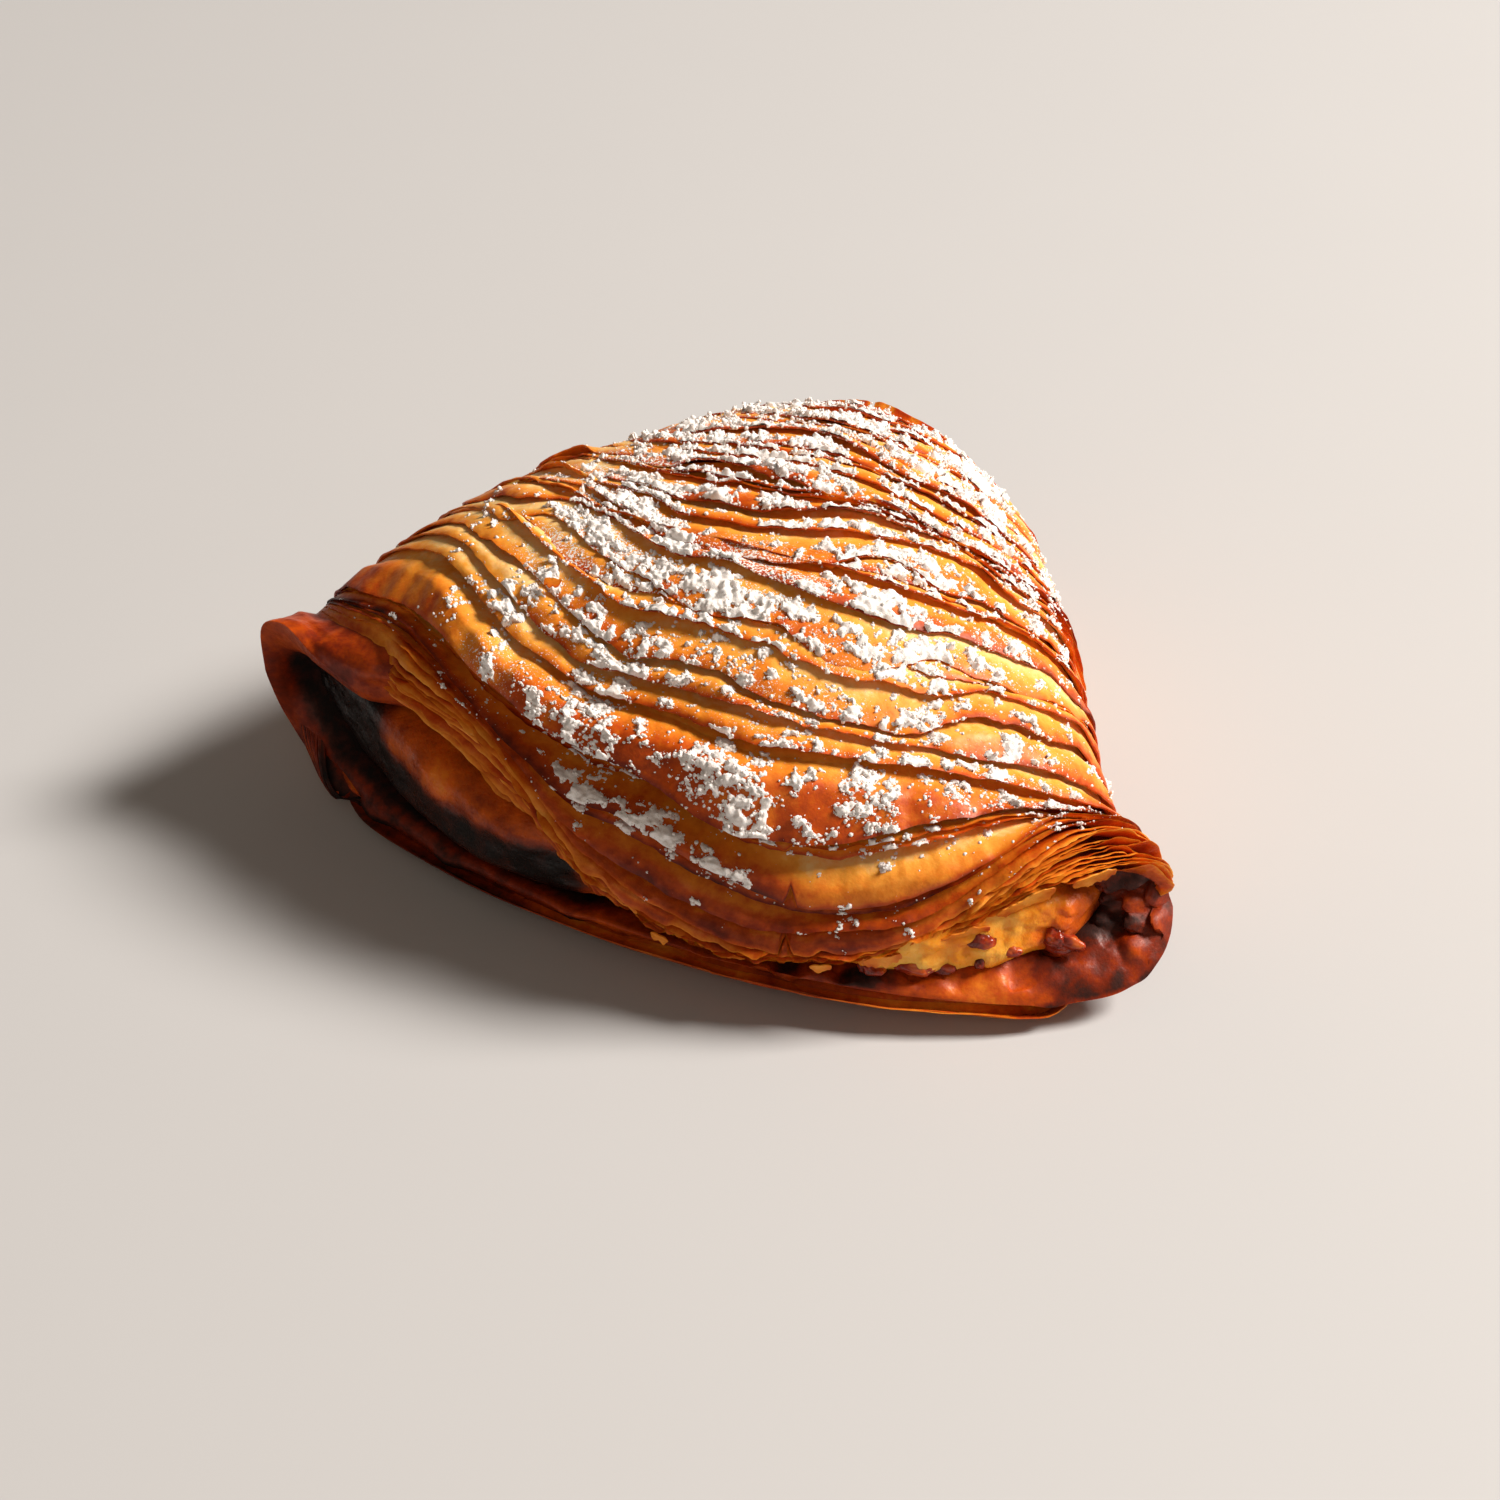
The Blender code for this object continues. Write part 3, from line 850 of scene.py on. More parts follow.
    def height(self, leaf: Leaf, sites: Sites, over: Array, edge: Array) -> Array:
        """How far the top of a leaf stands over the body."""
        base, turn = sites.base, sites.turn
        salt = np.array([0.0, 5.1 * leaf.seed, 0.0])
        past = (sites.station - over) * sites.pace
        to_edge = np.maximum(edge - sites.station, 0.0) * sites.pace
        full = np.maximum((edge - over) * sites.pace, 0.3)
        rise = np.minimum(leaf.rise, full)
        gone = np.clip((past + 0.9) / (rise + 0.9), 0.0, 1.0)
        up = 0.45 * ease(gone) + 0.55 * gone**1.15
        underneath = ease((-np.sin(sites.angle) - 0.05) / 0.4)
        left_ear = ease((turn - 0.73) / 0.05) * ease((leaf.edge - 0.60) / 0.15)
        slow = self.broad.at(base + salt, 16.0)
        gape = hump(turn, 0.56, 0.13) if leaf.edge > 0.84 else hump(turn, 0.47, 0.13)
        lift = leaf.lift + leaf.proud * gape + 0.55 * slow
        lift = lift - 1.1 * (1.0 - ease((sites.station - 0.25) / 0.35))
        flare = np.clip(self.broad.at(base - salt, leaf.flare_mm) - 0.20, 0.0, 1.0)
        flare = flare * (1.0 - ease((0.30 - np.sin(sites.angle)) / 0.3) * (turn < 0.5))
        lift = lift + leaf.flare * flare * np.clip(1.0 - to_edge / 3.0, 0.0, 1.0)
        lift = lift * (1.0 - 0.80 * left_ear) * (1.0 - 0.75 * underneath)
        if leaf.edge > 0.78:
            bare = bare_lip(turn) * ease((sites.station - 0.77) / 0.09)
            shown = leaf.below * lower_lip(sites.angle)
            lift = lift - 2.4 * bare * (1.0 - shown) + (0.9 - lift) * shown
        curl = 0.07 * np.clip(1.0 - to_edge / 0.8, 0.0, 1.0) ** 2
        curl = curl * (1.0 + 4.0 * self.ripple.at(base + salt, 6.0))
        sink = leaf.sink * (1.0 - 0.55 * ease((turn - 0.56) / 0.09) * (leaf.edge < 0.84))
        height = -sink + (sink + lift) * up - curl * (1.0 - underneath)
        swell = 0.40 * self.broad.at(base, 12.0)
        calm = 1.0 - 0.6 * underneath - 0.3 * left_ear
        puff = 0.30 * self.ripple.at(base + salt, 4.8) * up
        near_edge = np.clip(1.0 - to_edge / 2.2, 0.0, 1.0)
        crinkle = 0.26 * self.ripple.at(base - salt, 2.9) * near_edge
        grain = 0.05 * self.fine.at(base + salt, 1.2) + 0.025 * self.fine.at(base, 0.6)
        height = height + swell + (puff + crinkle + grain) * calm
        if leaf.pucker:
            ring = self.form.body(np.full_like(sites.angle[0], 0.85), sites.angle[0])[None]
            ridges = self.ripple.at(ring + 0.12 * base, 2.6)
            height = height + leaf.pucker * ridges * up * calm
        if leaf.edge > 0.78:
            height = np.maximum(height, 0.8 * hood(turn) - 1.2 - 1.6 * (1.0 - bare_lip(turn)))
        if leaf.over is None:
            height = np.maximum(height, 0.0) * ease(sites.station / 0.03)
        return height

    def top(self, leaf: Leaf, sites: Sites, spans: tuple[Array, Array, Array]) -> Array:
        """Height of a leaf's top, held under the leaf over it."""
        _, over, edge = spans
        height = self.height(leaf, sites, over, edge)
        above = leaf.over
        if above is not None:
            _, over_above, edge_above = self.span(above, spans_angle(sites))
            ceiling = self.height(above, sites, over_above, edge_above) - above.thick - 0.06
            covered = sites.station < edge_above
            height = np.where(covered, np.minimum(height, ceiling), height)
        return height

    def sheet(self, leaf: Leaf) -> Patch:
        """Closed grid of one leaf: over its top, round its free edge and back below."""
        angle = self.angles
        spans = self.span(leaf, angle)
        root, _, edge = spans
        before = leaf.over.edge if leaf.over else 0.0
        width = (leaf.edge - before + 0.02) * 122.0
        top_rows = max(7, int(width / self.row_pitch))
        across = np.concatenate([
            np.linspace(0.0, 1.0, top_rows) ** 0.9, np.linspace(1.0, 0.0, 4), [0.0]])
        below = np.concatenate([np.zeros(top_rows), np.ones(4), [0.0]])
        w = np.broadcast_to(across[:, None], (len(across), len(angle)))
        under = np.broadcast_to(below[:, None], w.shape)
        station = root[None, :] + (edge - root)[None, :] * w
        sites = self.sites(station, angle[None, :])
        height = self.top(leaf, sites, spans)
        thick = leaf.thick * (1.0 - 0.30 * w**3)
        points = sites.base + sites.normal * (height - under * thick)[..., None]
        rest = 0.02 + 0.5 * (1.0 - w) + under * 0.25
        points[..., 2] = np.maximum(points[..., 2], rest)
        return Patch(points, self.looks(leaf, sites, spans, points))

    def looks(self, leaf: Leaf, sites: Sites, spans: tuple[Array, Array, Array], points: Array
              ) -> dict[str, Array]:
        """Browning and dusting of a leaf, with painted shade and painted light mixed into the browning."""
        _, over, edge = spans
        turn = sites.turn
        x, y, z = points[..., 0], points[..., 1], points[..., 2]
        salt = np.array([7.7 * leaf.seed, 0.0, 0.0])
        past = np.maximum(sites.station - over, 0.0) * sites.pace + 6.0 * (leaf.over is None)
        to_edge = np.maximum(edge - sites.station, 0.0) * sites.pace
        full = np.maximum((edge - over) * sites.pace, 0.5)
        crest = ease(past / np.minimum(full, 4.5))
        rim = np.clip(1.0 - to_edge / 0.7, 0.0, 1.0)
        lip = ease((leaf.edge - 0.95) / 0.03)
        # Crests and free edges brown; on the leaves of the lip bundle the free edges turn paler instead, a
        # painted highlight on lit edges.
        bake_and_painted_light = 0.12 + leaf.tone + 0.32 * crest + (0.14 - 0.38 * lip) * rim
        # Painted shade: the lip bundle's leaves darken in the crevice just under the free edge of the leaf
        # above.
        painted_crevice_shade = np.clip(1.0 - past / 0.7, 0.0, 1.0)
        bake_and_painted_light = bake_and_painted_light + 0.42 * lip * painted_crevice_shade * (1.0 - bare_lip(turn))
        bake_and_painted_light = bake_and_painted_light - 0.08 * lip * ease((x - 20.0) / 12.0)
        # Paler towards the right and the top: partly the crust's own lighter gold, partly painted light
        # where the light falls.
        bake_and_painted_light = bake_and_painted_light - 0.05 * ease((x - 5.0) / 30.0) * ease((z - 14.0) / 8.0)
        # Paler right half of a leaf with gold: partly its own lighter gold, partly painted light.
        bake_and_painted_light = bake_and_painted_light - leaf.gold * ease((0.47 - turn) / 0.05) * (1.0 - 0.5 * rim)
        early = 1.0 - ease((leaf.edge - 0.86) / 0.06)
        bake_and_painted_light = bake_and_painted_light - 0.05 * lip * ease((-x - 8.0) / 10.0)
        # Painted light: the earlier leaves turn paler towards the left, where the crown's left side faces
        # away from the lamp; further left they turn darker again, partly real browning, partly painted
        # shade.
        bake_and_painted_light = bake_and_painted_light - 0.20 * early * ease((-x - 16.0) / 10.0) + 0.16 * ease((-x - 38.0) / 14.0)
        # Darker low at the front: partly browner crust, partly painted shade.
        bake_and_painted_light = bake_and_painted_light + 0.10 * ease((24.0 - z) / 16.0) * ease((-y - 12.0) / 20.0)
        near_lip = ease((sites.station - 0.80) / 0.1)
        scorched = 0.12 + 0.32 * ease((-8.0 - x) / 16.0) + 0.16 * self.ripple.at(points, 5.0)
        bake_and_painted_light = bake_and_painted_light + scorched * ease((-np.sin(sites.angle) - 0.02) / 0.2) * near_lip
        bake_and_painted_light = bake_and_painted_light + self.broad.at(points + salt, 9.0) * 0.10
        bake_and_painted_light = bake_and_painted_light + self.ripple.at(points + salt, 2.8) * 0.06
        facing = np.clip(sites.normal[..., 2], 0.0, 1.0)
        dust = facing**1.2 * (0.55 + 0.4 * self.broad.at(points + 31.0, 8.0)) * ease(past / 1.5)
        dust = dust * (1.0 - 0.85 * ease((-x - 26.0) / 18.0)) * ease((z - 10.0) / 16.0)
        return {"bake_and_painted_light": np.clip(bake_and_painted_light, 0.02, 0.98), "dust": np.clip(dust, 0.0, 1.0)}

    def build(self, finish: bpy.types.Material) -> list[bpy.types.Object]:
        """Make the leaves, in a few pieces from the back to the lip."""
        groups = {"leaves_back": (0.0, 0.235), "leaves_top": (0.235, 0.50),
                  "leaves_crown": (0.50, 0.72), "leaves_brow": (0.72, 0.945),
                  "leaves_lip": (0.945, 1.01)}
        pieces = []
        for name, (low, high) in groups.items():
            patches = [self.sheet(leaf) for leaf in self.leaves if low <= leaf.edge < high]
            piece = sew(name, patches, ("bake_and_painted_light", "dust"))
            piece.data.materials.append(finish)
            pieces.append(piece)
        return pieces


def bare_lip(turn: Array) -> Array:
    """Share by which the lip is bare of leaves: right ear, left hood and lower lip."""
    return np.where(turn < 0.5, ease((0.045 - turn) / 0.07), ease((turn - 0.745) / 0.04))


def hood(turn: Array) -> Array:
    """Share by which the smooth hood over the left ear covers a place."""
    return ease((turn - 0.745) / 0.04) * ease((1.17 - turn) / 0.06)


def lower_lip(angle: Array) -> Array:
    """Share by which leaves show along the lower lip, away from the two ears."""
    return ease((-np.sin(angle) - 0.40) / 0.25)


def spans_angle(sites: Sites) -> Array:
    """The row of angles that a grid of places was made from."""
    return sites.angle[0]


# --------------------------------------------------------------------------------------
# Powdered sugar
# --------------------------------------------------------------------------------------

@dataclass(frozen=True)
class PowderedSugar:
    """Milled sugar, sieved on: chalk white, clinging in soft lumps that light soaks into."""

    name: str = "powdered_sugar"
    colour: str = "#FAF6F4"
    grain_mm: float = 0.16

    def make(self) -> bpy.types.Material:
        """Build the material."""
        material, tree, shader = fresh_material(self.name)
        place = add(tree, "ShaderNodeTexCoord").outputs["Object"]
        grains = add(tree, "ShaderNodeTexNoise", {
            "Scale": 1.0 / (self.grain_mm * MM), "Detail": 3.0, "Roughness": 0.7},
            {"Vector": place}).outputs["Fac"]
        colour = ramp(tree, grains, ((0.25, "#E9DFD8"), (0.55, self.colour), (0.8, "#FFFFFF")))
        tree.links.new(colour, shader.inputs["Base Color"])
        rough = add(tree, "ShaderNodeMapRange", {"To Min": 0.80, "To Max": 0.98},
                    {"Value": grains}).outputs["Result"]
        tree.links.new(rough, shader.inputs["Roughness"])
        bump = add(tree, "ShaderNodeBump", {"Strength": 0.9, "Distance": 0.10 * MM},
                   {"Height": grains}).outputs["Normal"]
        tree.links.new(bump, shader.inputs["Normal"])
        shader.inputs["IOR"].default_value = 1.30
        shader.inputs["Specular IOR Level"].default_value = 0.25
        shader.inputs["Subsurface Weight"].default_value = 0.30
        shader.inputs["Subsurface Radius"].default_value = (1.0, 0.9, 0.85)
        shader.inputs["Subsurface Scale"].default_value = 0.3 * MM
        return material


@dataclass(frozen=True)
class Heap:
    """A round place on the body that has more of something, or less."""

    station: float
    turn: float                        # half turns from the right ear over the crown
    radius: float                      # millimetres
    extra: float


@dataclass
class Sugar:
    """Powdered sugar on the leaves: clotted patches and loose grains."""

    stack: LeafStack
    pitch: float = 0.16                # spacing of the patch grid
    deepest: float = 0.80
    lumps: tuple = ((1.45, -0.12), (0.98, 0.12), (0.64, 0.30), (0.42, 0.50))   # spacing, spread past patches
    clots: int = 8500
    grains: int = 20000
    heaps: tuple = (
        Heap(0.762, 0.572, 3.8, 0.65), Heap(0.785, 0.680, 3.0, -0.90),
        Heap(0.812, 0.630, 4.5, -0.35), Heap(0.838, 0.620, 1.0, 0.50), Heap(0.852, 0.597, 1.0, 0.50), Heap(0.654, 0.369, 6.0, 0.30),
        Heap(0.605, 0.618, 7.0, 0.25), Heap(0.680, 0.500, 6.0, 0.20),
        Heap(0.885, 0.585, 2.2, 1.1), Heap(0.895, 0.560, 2.2, 1.1), Heap(0.903, 0.533, 2.2, 1.2),
        Heap(0.912, 0.508, 2.1, 1.2), Heap(0.924, 0.480, 1.9, 1.1), Heap(0.936, 0.458, 1.6, 0.9),
        Heap(0.848, 0.500, 3.5, 0.06),
        Heap(0.808, 0.381, 4.0, 0.10), Heap(0.344, 0.406, 9.0, 0.25),
        Heap(0.430, 0.220, 8.0, 0.20), Heap(0.605, 0.525, 3.0, -0.80),
        Heap(0.628, 0.490, 3.0, -0.80), Heap(0.585, 0.556, 2.6, -0.60),
        Heap(0.840, 0.425, 2.4, -0.45), Heap(0.323, 0.368, 3.5, -0.50),
        Heap(0.430, 0.440, 3.0, -0.35), Heap(0.428, 0.333, 3.0, -0.35), Heap(0.860, 0.300, 5.0, -0.15),
        Heap(0.956, 0.355, 1.6, 0.55), Heap(0.700, 0.660, 4.0, 0.12))
    bands: tuple = (0.00, 0.16, 0.26, 0.36, 0.55, 0.68, 0.76, 0.88, 0.93, 1.00)
    band_cover: tuple = (0.10, 0.32, 0.64, 0.74, 0.76, 0.70, 0.62, 0.54, 0.22, 0.08)
    sides: tuple = (0.00, 0.06, 0.14, 0.22, 0.40, 0.58, 0.66, 0.72, 0.78, 1.00)
    side_cover: tuple = (0.05, 0.22, 0.65, 0.95, 1.00, 1.00, 0.80, 0.35, 0.10, 0.02)

    def __post_init__(self) -> None:
        """Prepare the noise."""
        self.noise = Noise(41)

    def cover(self, sites: Sites) -> Array:
        """How densely sugar lies, from 0 to about 1."""
        cover = through(self.bands, self.band_cover, sites.station)
        cover = cover * through(self.sides, self.side_cover, np.clip(sites.turn, 0.0, 1.0))
        for heap in self.heaps:
            middle = self.stack.form.body(heap.station, heap.turn * math.pi)
            far = np.linalg.norm(sites.base - middle, axis=-1)
            cover = cover + heap.extra * hump(far, 0.0, heap.radius)
        return cover

    def patch(self, leaf: Leaf) -> tuple[Patch, Array, Array]:
        """Sugar on one leaf.

        Args:
            leaf: the leaf it lies on.

        Returns:
            The grid of its surface, the points of it, and how likely a loose grain lies
            at each of them.
        """
        stack = self.stack
        angle = self.angles
        spans = stack.span(leaf, angle)
        _, over, edge = spans
        reach = float(np.max((edge - over) * 122.0))
        rows = max(5, int(reach / self.pitch))
        w = np.linspace(0.0, 1.0, rows)[:, None]
        start = np.minimum(over, edge - 0.002)
        station = start[None, :] + (edge - start)[None, :] * w
        sites = stack.sites(station, angle[None, :])
        height = stack.height(leaf, sites, over, edge)
        ground = sites.base + sites.normal * height[..., None]
        past = (station - over) * sites.pace
        to_edge = (edge - station) * sites.pace
        full = np.maximum((edge - over) * sites.pace, 0.4)
        noise = self.noise
        drift = (0.66 * noise.at(ground, 1.9) + 0.60 * noise.at(ground + 5.0, 0.95)
                 + 0.30 * noise.at(ground + 9.0, 7.0))
        if leaf.pucker:
            ring = stack.form.body(np.full_like(sites.angle[0], 0.85), sites.angle[0])[None]
            drift = 0.62 * drift + 0.85 * stack.ripple.at(ring + 0.12 * sites.base, 2.6)
        cover = self.cover(sites)
        cover = cover * (0.62 + 0.42 * ease(past / np.minimum(full, 3.0)))
        facing = np.clip(sites.normal[..., 2] * 1.8, 0.0, 1.0)
        thick = drift - 1.02 + 1.12 * cover * facing
        thick = thick - 1.0 * np.clip(1.0 - past / 0.5, 0.0, 1.0)
        for crack in leaf.cracks + leaf.over.cracks:
            thick = thick - 3.0 * hump(sites.turn, crack, 0.010)
        depth = 0.04 * np.clip((thick - 0.05) / 0.25, 0.0, 1.0) + 0.07 * np.clip(thick, 0.0, 1.0)
        some = thick > -0.50
        spots, shortfall, mound = ground[some], thick[some], depth[some]
        for size, chance in self.lumps:
            far, own = noise.balls(spots + 13.0 * size, size)
            ball = size * np.sqrt(np.clip(0.36 - far**2, 0.0, 1.0))
            mound = np.maximum(mound, np.where(shortfall + chance * own > 0.0, ball, 0.0))
        depth[some] = mound
        depth = depth * (0.80 + 0.35 * noise.at(ground + 33.0, 0.45))
        depth = np.minimum(depth * np.clip(to_edge / 0.5 + 0.4, 0.0, 1.0), self.deepest)
        there = depth > 0.02
        near = there.copy()
        near[1:] |= there[:-1]
        near[:-1] |= there[1:]
        near[:, 1:] |= there[:, :-1]
        near[:, :-1] |= there[:, 1:]
        depth = np.where(there, depth, -0.08)
        lean = sites.normal + np.array([0.0, 0.0, 0.5])
        lean = lean / np.linalg.norm(lean, axis=-1, keepdims=True)
        points = ground + lean * depth[..., None]
        dusty = np.exp(-((thick + 0.10) / 0.22) ** 2) + 0.07 * np.maximum(cover, 0.0) * facing
        return Patch(points, {}, near), points, dusty

    def build(self, finish: bpy.types.Material) -> list[bpy.types.Object]:
        """Make the patches and the grains."""
        dense = np.linspace(0.02 * math.pi, 0.90 * math.pi, 1500)
        ring = self.stack.form.body(0.75, dense)
        travel = np.concatenate(
            [[0.0], np.cumsum(np.linalg.norm(np.diff(ring, axis=0), axis=-1))])
        columns = int(travel[-1] / self.pitch)
        self.angles = np.interp(np.linspace(0.0, travel[-1], columns), travel, dense)
        groups = {"sugar_back": (0.06, 0.45), "sugar_crown": (0.45, 0.66),
                  "sugar_front": (0.66, 0.986)}
        pieces, places, chances = [], [], []
        for name, (low, high) in groups.items():
            patches = []
            for leaf in self.stack.leaves:
                if low <= leaf.edge < high:
                    patch, points, dusty = self.patch(leaf)
                    patches.append(patch)
                    places.append(points.reshape(-1, 3))
                    chances.append(dusty.ravel())
            piece = sew(name, patches, (), crease=180.0, closed=False)
            piece.data.materials.append(finish)
            pieces.append(piece)
        pieces += self.loose_grains(np.concatenate(places), np.concatenate(chances), finish)
        return pieces

    def loose_grains(self, places: Array, chances: Array, finish: bpy.types.Material
                     ) -> list[bpy.types.Object]:
        """Scatter grains where sugar is thin.

        Args:
            places: points that grains may lie at.
            chances: how likely each is.
            finish: the sugar's material.

        Returns:
            The pieces of joined grains.
        """
        maker = np.random.default_rng(7)
        chances = chances / chances.sum()
        pieces = []
        for name, count, small, large, rounded in (
                ("sugar_clots", self.clots, 0.11, 0.30, True),
                ("sugar_grains", self.grains // 2, 0.06, 0.13, False),
                ("sugar_dust", self.grains // 2, 0.05, 0.10, False)):
            picked = maker.choice(len(places), count, replace=False, p=chances)
            centres = places[picked] + maker.normal(0.0, 0.05, (count, 3))
            radii = small + (large - small) * maker.random(count) ** 2.0
            piece = scatter(name, centres, radii, maker, rounded)
            piece.data.materials.append(finish)
            pieces.append(piece)
        return pieces


def scatter(name: str, centres: Array, radii: Array, maker: np.random.Generator,
            rounded: bool) -> bpy.types.Object:
    """Join many small rough grains into one piece.

    Args:
        name: the piece's name.
        centres: their centres in millimetres.
        radii: their radii.
        maker: random numbers for their shapes.
        rounded: whether they are round, or blocky as the finest ones may be.

    Returns:
        The piece.
    """
    bm = bmesh.new()
    if rounded:
        bmesh.ops.create_icosphere(bm, subdivisions=1, radius=1.0)
    else:
        bmesh.ops.create_cube(bm, size=1.4)
    bmesh.ops.triangulate(bm, faces=bm.faces)
    ball = np.array([vert.co for vert in bm.verts])
    faces = np.array([[vert.index for vert in face.verts] for face in bm.faces])
    bm.free()
    count = len(centres)
    rough = 1.0 + 0.25 * maker.uniform(-1.0, 1.0, (count, len(ball), 1))
    points = centres[:, None, :] + ball[None] * rough * radii[:, None, None]
    joined = faces[None] + len(ball) * np.arange(count)[:, None, None]
    mesh = bpy.data.meshes.new(name)
    mesh.from_pydata((points.reshape(-1, 3) * MM).tolist(), [], joined.reshape(-1, 3).tolist())
    mesh.shade_smooth()
    piece = bpy.data.objects.new(name, mesh)
    bpy.context.scene.collection.objects.link(piece)
    return piece


# --------------------------------------------------------------------------------------
# Core and filling
# --------------------------------------------------------------------------------------

@dataclass
class Core:
    """Closed wall under the leaves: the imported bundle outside, the lining of the mouth inside."""

    form: Form
    depth: float = 1.7                 # below the body, where leaves cover it
    recess: float = 0.965              # station where it ends under the upper lip
    ear_wall: float = 0.4              # extra thickness of the rim at the right ear
    ear_roll: float = 2.6              # height of the blistered roll inside that ear
    sill: float = 1.7                  # extra thickness of the lower lip towards that ear
    blisters: tuple = (
        Heap(0.985, 0.040, 1.7, 1.1), Heap(0.960, 0.030, 1.3, 0.8), Heap(0.995, 0.075, 1.2, 0.7),
        Heap(0.990, -0.080, 1.5, 0.7), Heap(0.950, -0.060, 1.8, 0.5),
        Heap(0.985, -0.210, 1.6, 0.6), Heap(0.990, 1.300, 2.2, 0.7), Heap(0.985, 1.220, 2.6, 0.8),
        Heap(0.980, 1.400, 2.0, 0.6))
    rounding: float = 0.055            # stations over which its lip is rounded
    columns: int = 320
    outer_rows: int = 70
    inner_rows: int = 60
    inner_end: float = 0.50

    def build(self, finish: bpy.types.Material) -> bpy.types.Object:
        """Make the wall."""
        noise = Noise(21)
        angle = np.linspace(-0.5 * math.pi, 1.5 * math.pi, self.columns)[None, :]
        turn = angle / math.pi
        bare = bare_lip(turn)
        end = self.recess + (1.0 - self.recess) * bare
        outer_share = 1.0 - np.linspace(0.998, 0.0, self.outer_rows)[:, None] ** 1.5
        station = outer_share * end
        outer = self.form.body(station, angle)
        normal = self.form.outward(np.clip(station, 0.01, 0.99), angle)
        under = ease((-np.sin(angle) - 0.10) / 0.15)
        shallow = 0.15 + 0.55 * under - 1.05 * hood(turn)
        depth = self.depth + (shallow - self.depth) * bare * ease((station - 0.77) / 0.09)
        lumps = 0.35 * noise.layers(outer, 5.0, 3) * ease((1.0 - outer_share) / 0.03)
        scorch = np.zeros_like(lumps)
        for blister in self.blisters:
            middle = self.form.body(blister.station, blister.turn * math.pi)
            near = hump(np.linalg.norm(outer - middle, axis=-1), 0.0, blister.radius)
            lumps = lumps - blister.extra * near
            scorch = np.maximum(scorch, near)
        outer = outer - normal * (depth + lumps)[..., None]
        outer[..., 2] = np.maximum(outer[..., 2], 0.3)
        inner_share = np.linspace(0.0, 1.0, self.inner_rows)[1:, None] ** 1.6
        station = end + (self.inner_end - end) * inner_share
        right_ear = ease((np.cos(angle) - 0.45) / 0.5)
        extra = self.ear_wall * right_ear + self.sill * under * ease((np.cos(angle) + 0.2) / 0.6)
        extra = extra * ease((station - 0.89) / 0.05)
        flat_lining = self.form.hollow(station, angle, extra)
        roll = right_ear * hump(station, 0.950, 0.022) * (0.8 + 0.9 * noise.at(flat_lining, 3.6))
        lining = self.form.hollow(station, angle, extra + self.ear_roll * np.maximum(roll, 0.0))
        rounding = self.rounding * (1.0 + 0.3 * right_ear)
        u = np.clip(1.0 - (end - station) / rounding, 0.0, 1.0)
        out = (1.0 - np.sqrt(1.0 - u**2))[..., None]
        lining = lining + (outer[-1][None] - lining) * out
        sill = under * ease((lining[..., 0] - 2.0) / 10.0) * ease((station - 0.88) / 0.06)
        bumps = 0.30 * noise.layers(lining, 6.0, 3) + 1.5 * sill * noise.layers(lining, 2.8, 3)
        bumps = bumps * (1.0 - 0.7 * out[..., 0])
        lining = lining + bumps[..., None] * np.array([0.2, 0.6, 0.8])
        far, own = noise.balls(lining, 3.4)
        boils = np.sqrt(np.clip(0.30 - far**2, 0.0, 1.0)) * ease((np.cos(angle) - 0.72) / 0.2)
        boils = 2.6 * boils * ease((station - 0.93) / 0.03) * (1.0 - under)
        face = -self.form.outward(np.full_like(angle, 0.96), angle) + np.array([0.0, -0.8, 0.0])
        lining = lining + face * boils[..., None]
        points = np.concatenate([outer, lining])
        spots = 0.8 * sill * (1.0 - hump(lining[..., 0], 40.0, 8.0)) * ease(
            noise.at(lining, 4.0) * 2.0)
        scorch = np.concatenate([scorch, spots + 0.35 * ease(boils) * (own - 0.3)])
        points[:, -1] = points[:, 0]
        start = np.broadcast_to(outer[0].mean(axis=0), outer[0].shape)
        finish_line = np.broadcast_to(lining[-1].mean(axis=0), lining[-1].shape)
        points = np.concatenate([start[None], points, finish_line[None]])
        scorch = np.pad(scorch, ((1, 1), (0, 0)))
        x, y, z = points[..., 0], points[..., 1], points[..., 2]
        bake_and_painted_light = 0.62 + 0.08 * noise.layers(points, 8.0, 3) + 0.05 * noise.layers(points, 2.0, 2)
        bake_and_painted_light = bake_and_painted_light - 0.12 * hump(x, 39.0, 8.0) * ease((9.0 - z) / 4.0) * ease(-y / 20.0)
        # Darker at the right ear's rim (its own dark crust), at the left ear and low on the left (partly
        # burnt crust, partly painted shade), and where scorched.
        bake_and_painted_light = bake_and_painted_light + 0.05 * ease((-x - 36.0) / 10.0) + 0.12 * ease((x - 40.0) / 8.0)
        bake_and_painted_light = bake_and_painted_light + 0.16 * ease((9.0 - z) / 6.0) * ease((-6.0 - x) / 20.0) + 0.34 * scorch
        # Painted shade: deep inside the mouth the lining darkens, in the cavity at the right ear and the
        # hollow at the left.
        rows = np.arange(len(points))[:, None] - self.outer_rows
        inside = ease((rows - 6.0) / 7.0)
        bake_and_painted_light = bake_and_painted_light + inside * (0.20 * ease((x - 32.0) / 8.0) + 0.36 * ease((-x - 2.0) / 10.0))
        patch = Patch(points, {"bake_and_painted_light": np.clip(bake_and_painted_light, 0.05, 0.98), "dust": np.zeros_like(x)})
        piece = sew("shell_core", [patch], ("bake_and_painted_light", "dust"))
        piece.data.materials.append(finish)
        return piece


